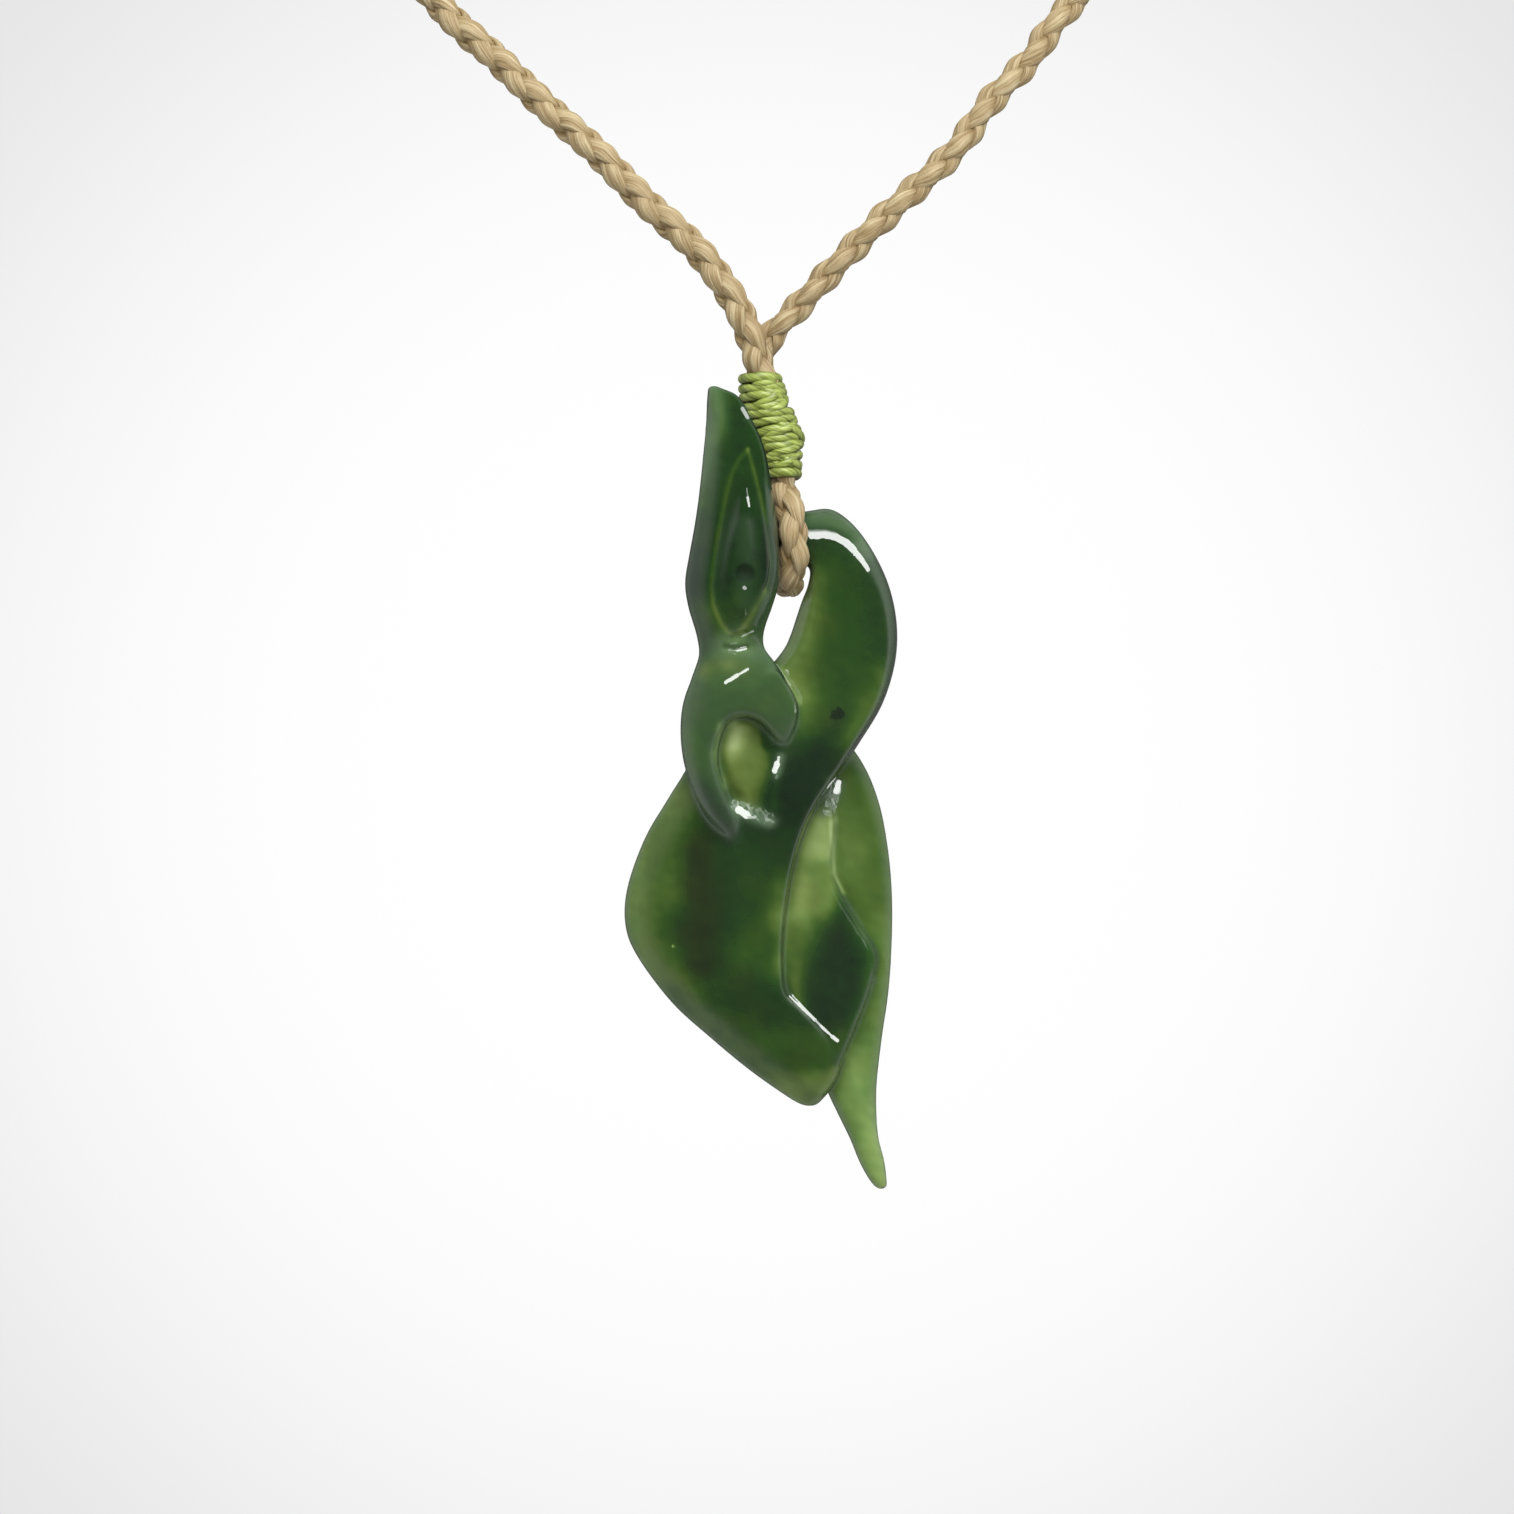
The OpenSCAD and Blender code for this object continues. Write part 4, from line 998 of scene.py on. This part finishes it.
def braid():
    path, run = braid_path()
    tangent, side = carried_frame(path)
    other = np.cross(tangent, side)
    share = smoothstep(-CHANGE, CHANGE, run - run[-1] / 2)
    phase = np.concatenate([[0], np.cumsum(np.diff(run) * math.pi / blend(*PITCH, share)[1:])])
    left, right = (front_angle(path, side, other, k) + math.radians(VIEW[k]) for k in (0, 1))
    right = right - math.pi * round((right - left) / math.pi)
    turn = blend(left, right, share)
    full = blend(*FULL, share)[:, None, None]
    around = circle(STRAND_SIDES)
    pieces = []
    for k in range(STRANDS):
        way = 1 if k < 2 else -1
        on_top = way * np.cos(2 * phase)
        angle = way * phase - LINGER * np.sin(2 * phase) + (k % 2) * math.pi + turn
        slope = np.arctan(np.gradient(angle, run) * BEND_R)
        on_top, angle, slope, at = (v[:, None] for v in (on_top, angle, slope, run))
        flat = STRAND_FLAT * (1 - on_top) / 2
        lay = around + way * YARN_TWIST * at + YARN_WANDER * np.sin(at * YARN_WAVE + 2 * k)
        groove = bell(np.sin(YARNS * lay) / YARN_GAP)
        yarn = YARN_FULL - YARN_GROOVE * groove
        across = STRAND_HALF_W * np.sin(around) * yarn * (1 + flat)
        lift = BRAID_R + BRAID_SWAP * on_top + STRAND_HALF_T * np.cos(around) * yarn * (1 - flat)
        bent = angle + across * np.cos(slope) / BEND_R
        rings = path[:, None] + full * (
            (lift * np.cos(bent))[..., None] * side[:, None]
            + (lift * np.sin(bent))[..., None] * other[:, None]
            - (across * np.sin(slope))[..., None] * tangent[:, None]
        )
        strand = add_mesh(f"braid_strand_{k + 1}", rings.reshape(-1, 3), tube_faces(len(path), STRAND_SIDES))
        set_attribute(strand, "fibre", "FLOAT_VECTOR", fibre_place(at * 0.3 + 40 * k, lay, 7))
        # Painted shade where a strand passes under, in its yarn grooves and on its edges
        flank = smoothstep(*FLANK, np.abs(np.sin(around)))
        unshaded_share = smoothstep(*UNSHADED_LIFT, lift) * (1 - GROOVE_SHADE * groove) * (1 - FLANK_SHADE * flank)
        set_attribute(strand, "unshaded", "FLOAT", unshaded_share.reshape(-1))
        pieces.append(strand)
    return pieces


# Binding

THREAD_R = 0.44
THREAD_SIDES = 20
TURNS = 12
PLY_GROOVE = 0.13  # of the thread's radius
PLY_GAP = 0.35  # sine of the angle that the groove between its plies is wide
PLY_SHADE = 0.6  # share of painted shade there
PLY_SHADE_GAP = 0.3
FIBRE_RELIEF = 0.02  # of the radius
PLY_LENGTH = 3.4  # mm for one twist of the thread
TURN_STEPS = 72
TURN_SLOPE = 0.42  # mm by which a turn is higher at the right
SWAYS = 4  # times in each turn that its height, depth and thickness change by chance
SWAY_HEIGHT = 0.19  # mm
SWAY_DEPTH = (-0.12, 0.14)  # mm
SWAY_THICKNESS = 0.08  # of the radius
SECTION_POWER = 2.3  # of the binding's rounded section, where 2 is an ellipse

# Turns that cross over the others on the front: height in mm at the left and at the right end, the angles
# in degrees at which they dive under, with -90 at the front, and how far in mm they stand out
CROSSINGS = [
    (10.6, 12, -128, -12, 0.22), (8.9, 10.3, -118, 2, 0.28), (9.9, 8.4, -80, 18, 0.36),
    (7.2, 8.3, -122, 0, 0.25), (12.9, 11.9, -100, -10, 0.2), (6.9, 6, -95, 12, 0.2),
    (11.4, 13, -128, -22, 0.24), (13.3, 13.7, -112, -38, 0.16), (6.1, 7.3, -112, -20, 0.22),
]
CROSSING_R = THREAD_R * 0.9
CROSSING_STEPS = 60
CROSSING_LEAD = 7.0  # mm of twist by which each differs from the one before

CORE_STEPS = 40  # sides and levels of the plug inside the turns
CORE_DEPTH = 1.3  # thread radii that it lies under the surface
CORE_END = 0.14  # share of its height in which it gets thinner at each end


def binding_row(z):
    rows = np.array(BINDING)
    return [np.interp(z, rows[:, 0], rows[:, c]) for c in (1, 2, 3)]


def wound(z, angle, inset):
    """Points some inset under the binding's surface, at heights and angles; angle 0 is its right side."""
    x, half_w, half_d = binding_row(z)
    c, s = np.cos(angle), np.sin(angle)
    px = x + (half_w - inset) * np.sign(c) * np.abs(c) ** (2 / SECTION_POWER)
    py = (half_d - inset) * np.sign(s) * np.abs(s) ** (2 / SECTION_POWER)
    return np.column_stack([px, py, z])


def thread_tube(path, radius, start):
    """Twisted two-ply thread along a path: points, faces, place of each fibre, and how little painted shade
    each point gets.
    """
    tangent, side = carried_frame(path)
    other = np.cross(tangent, side)
    around = circle(THREAD_SIDES)
    at = run_along(path)[:, None] + start
    lay = around - at * 2 * math.pi / PLY_LENGTH
    ply = 1 - PLY_GROOVE * bell(np.sin(lay) / PLY_GAP) + FIBRE_RELIEF * np.sin(9 * lay)
    spoke = np.cos(around)[:, None] * side[:, None] + np.sin(around)[:, None] * other[:, None]
    rings = path[:, None] + radius[:, None, None] * ply[..., None] * spoke
    axis = np.column_stack([binding_row(path[:, 2])[0], np.zeros(len(path)), path[:, 2]])
    facing = (spoke * unit(path - axis)[:, None]).sum(2)
    # Painted shade on the side of a turn that faces in, and in the groove between its plies
    unshaded_share = smoothstep(0.0, 0.9, facing) * (1 - PLY_SHADE * bell(np.sin(lay) / PLY_SHADE_GAP))
    faces = tube_faces(len(path), THREAD_SIDES)
    return rings.reshape(-1, 3), faces, fibre_place(at * 0.5, lay, 3), unshaded_share.reshape(-1)


def binding():
    rng = np.random.default_rng(4)
    top, bottom = BINDING[-1][0] - THREAD_R, BINDING[0][0] + THREAD_R
    t = np.linspace(0, 1, TURNS * TURN_STEPS)
    angle = math.pi / 2 + 2 * math.pi * TURNS * t
    ends = np.sin(math.pi * t) ** 0.5
    n = TURNS * SWAYS + 1
    draws = rng.normal(0, SWAY_HEIGHT, n), rng.uniform(*SWAY_DEPTH, n), rng.normal(0, SWAY_THICKNESS, n)
    drift, stand, thicker = (np.interp(t * TURNS * SWAYS, np.arange(n), draw) for draw in draws)
    z = np.clip(blend(top, bottom, t) + (drift + TURN_SLOPE * np.cos(angle)) * ends, bottom, top)
    parts = [thread_tube(wound(z, angle, THREAD_R - stand * ends), THREAD_R * (1 + thicker), 0)]
    for i, (left, right, a0, a1, stand_out) in enumerate(CROSSINGS):
        t = np.linspace(0, 1, CROSSING_STEPS)
        bow = np.sin(math.pi * t) ** 0.6
        height, angle = blend(left, right, smoothstep(0, 1, t)), np.radians(blend(a0, a1, t))
        path = wound(height, angle, THREAD_R + CROSSING_R - (CROSSING_R + stand_out) * bow)
        parts.append(thread_tube(path, np.full(len(t), CROSSING_R), CROSSING_LEAD * i))
    t = np.linspace(0, 1, CORE_STEPS)
    thinner = smoothstep(CORE_END, 0, t) + smoothstep(1 - CORE_END, 1, t)
    core = np.vstack([
        wound(np.full(CORE_STEPS, level), circle(CORE_STEPS), (CORE_DEPTH + 2 * inside) * THREAD_R)
        for level, inside in zip(np.linspace(bottom, top, CORE_STEPS), thinner)
    ])
    # The plug inside the turns is painted all in the thread's shade colour
    parts.append((core, tube_faces(CORE_STEPS, CORE_STEPS), core[:, [2, 0, 1]], np.zeros(len(core))))
    faces, start = [], 0
    for part in parts:
        faces += [[i + start for i in face] for face in part[1]]
        start += len(part[0])
    piece = add_mesh("thread_binding", np.vstack([part[0] for part in parts]) + HANG, faces)
    set_attribute(piece, "fibre", "FLOAT_VECTOR", np.vstack([part[2] for part in parts]))
    set_attribute(piece, "unshaded", "FLOAT", np.concatenate([part[3] for part in parts]))
    return piece


# Stage

PENDANT = np.array([0.0, -122.0, -170.0])  # what the lamps are aimed at, in mm
FLOOR_R = 2400  # mm
FLOOR_HEIGHT = -620
FLOOR_SIDES = 64
CAMERA_PLACE = (-0.8, -722, -169.2)  # mm
SENSOR = 36  # mm
LENS = 162.6  # mm


def lamp(name, across, up, distance, size, power, glossy=True):
    """Soft lamp that a surface mirrors to the camera when it tilts up, some degrees across from upright."""
    a, t = math.radians(across), 2 * math.radians(up)
    way = np.array([math.sin(t) * math.sin(a), -math.cos(t), math.sin(t) * math.cos(a)])
    data = bpy.data.lights.new(name, "AREA")
    data.shape = "RECTANGLE"
    data.size, data.size_y = size
    data.energy = power
    piece = add_object(name, data)
    long_side = np.array([math.cos(a), 0, -math.sin(a)])
    turn = Matrix([long_side, np.cross(way, long_side), way]).transposed()
    piece.matrix_world = Matrix.Translation(Vector((PENDANT + distance * way) * MM)) @ turn.to_4x4()
    piece.visible_camera = False
    piece.visible_glossy = glossy


def stage():
    floor = add_mesh("floor", [
        (FLOOR_R * math.cos(a), FLOOR_R * math.sin(a), FLOOR_HEIGHT) for a in circle(FLOOR_SIDES)
    ], [range(FLOOR_SIDES)])
    m, tree, shader = new_material("floor_paper")
    feed(tree, shader, {"Base Color": (0.85, 0.85, 0.85, 1), "Roughness": 0.9})
    floor.data.materials.append(m)
    floor.visible_glossy = False

    world = bpy.data.worlds.new("studio")
    bpy.context.scene.world = world
    world.use_nodes = True
    tree = world.node_tree
    tree.nodes.clear()
    way = node(tree, "ShaderNodeTexCoord").outputs["Generated"]
    parts = node(tree, "ShaderNodeSeparateXYZ", {"Vector": way})
    # Backdrop as the camera sees it: white straight ahead, painted darker towards the frame's edges as a
    # vignette
    ahead = eased(tree, parts.outputs["Y"], 0.986, 0.9995, 0.78, 1)
    seen = node(tree, "ShaderNodeBackground", {"Color": (1, 1, 1, 1), "Strength": ahead})
    depth = node(tree, "ShaderNodeMapRange", {"Value": parts.outputs["Y"], "From Min": -1.0}).outputs[0]
    greys = [(0.07, 0.06), (0.5, 0.95), (0.7, 0.95), (0.9, 0.25)]
    lit = ramp(tree, depth, [(place, grey, grey, grey, 1) for place, grey in greys])
    rays = node(tree, "ShaderNodeLightPath").outputs
    dim = maths(tree, "MULTIPLY_ADD", rays["Is Glossy Ray"], -0.4, 1)
    around = node(tree, "ShaderNodeBackground", {"Color": lit, "Strength": dim})
    mix = node(tree, "ShaderNodeMixShader", {
        0: rays["Is Camera Ray"], 1: around.outputs[0], 2: seen.outputs[0],
    })
    node(tree, "ShaderNodeOutputWorld", {"Surface": mix.outputs[0]})

    lamp("overhead", 19, 26, 700, (0.64, 0.28), 7.6)
    lamp("front", -10, 12, 900, (0.6, 0.6), 5.0, glossy=False)
    lamp("back", 0, 76, 900, (0.8, 0.8), 4.0, glossy=False)


def camera():
    data = bpy.data.cameras.new("camera")
    data.sensor_width = SENSOR
    data.lens = LENS
    eye = add_object("camera", data)
    eye.location = Vector(CAMERA_PLACE) * MM
    eye.rotation_euler = (math.pi / 2, 0, 0)
    bpy.context.scene.camera = eye


# The whole scene

scene = bpy.context.scene
scene.view_settings.view_transform = "Standard"
camera()
stage()

stone = carve()
stone.data.materials.append(jade_material())
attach(stone, "pendant")
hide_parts("manaia")

linen = cord_material()
for strand in braid():
    strand.data.materials.append(linen)
    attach(strand, "necklace")
    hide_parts("cord")

wrap = binding()
wrap.data.materials.append(thread_material())
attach(wrap, "necklace")
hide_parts("binding")

wood = wood_material()
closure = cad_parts["closure"]
for slot in closure.material_slots:
    slot.material = wood
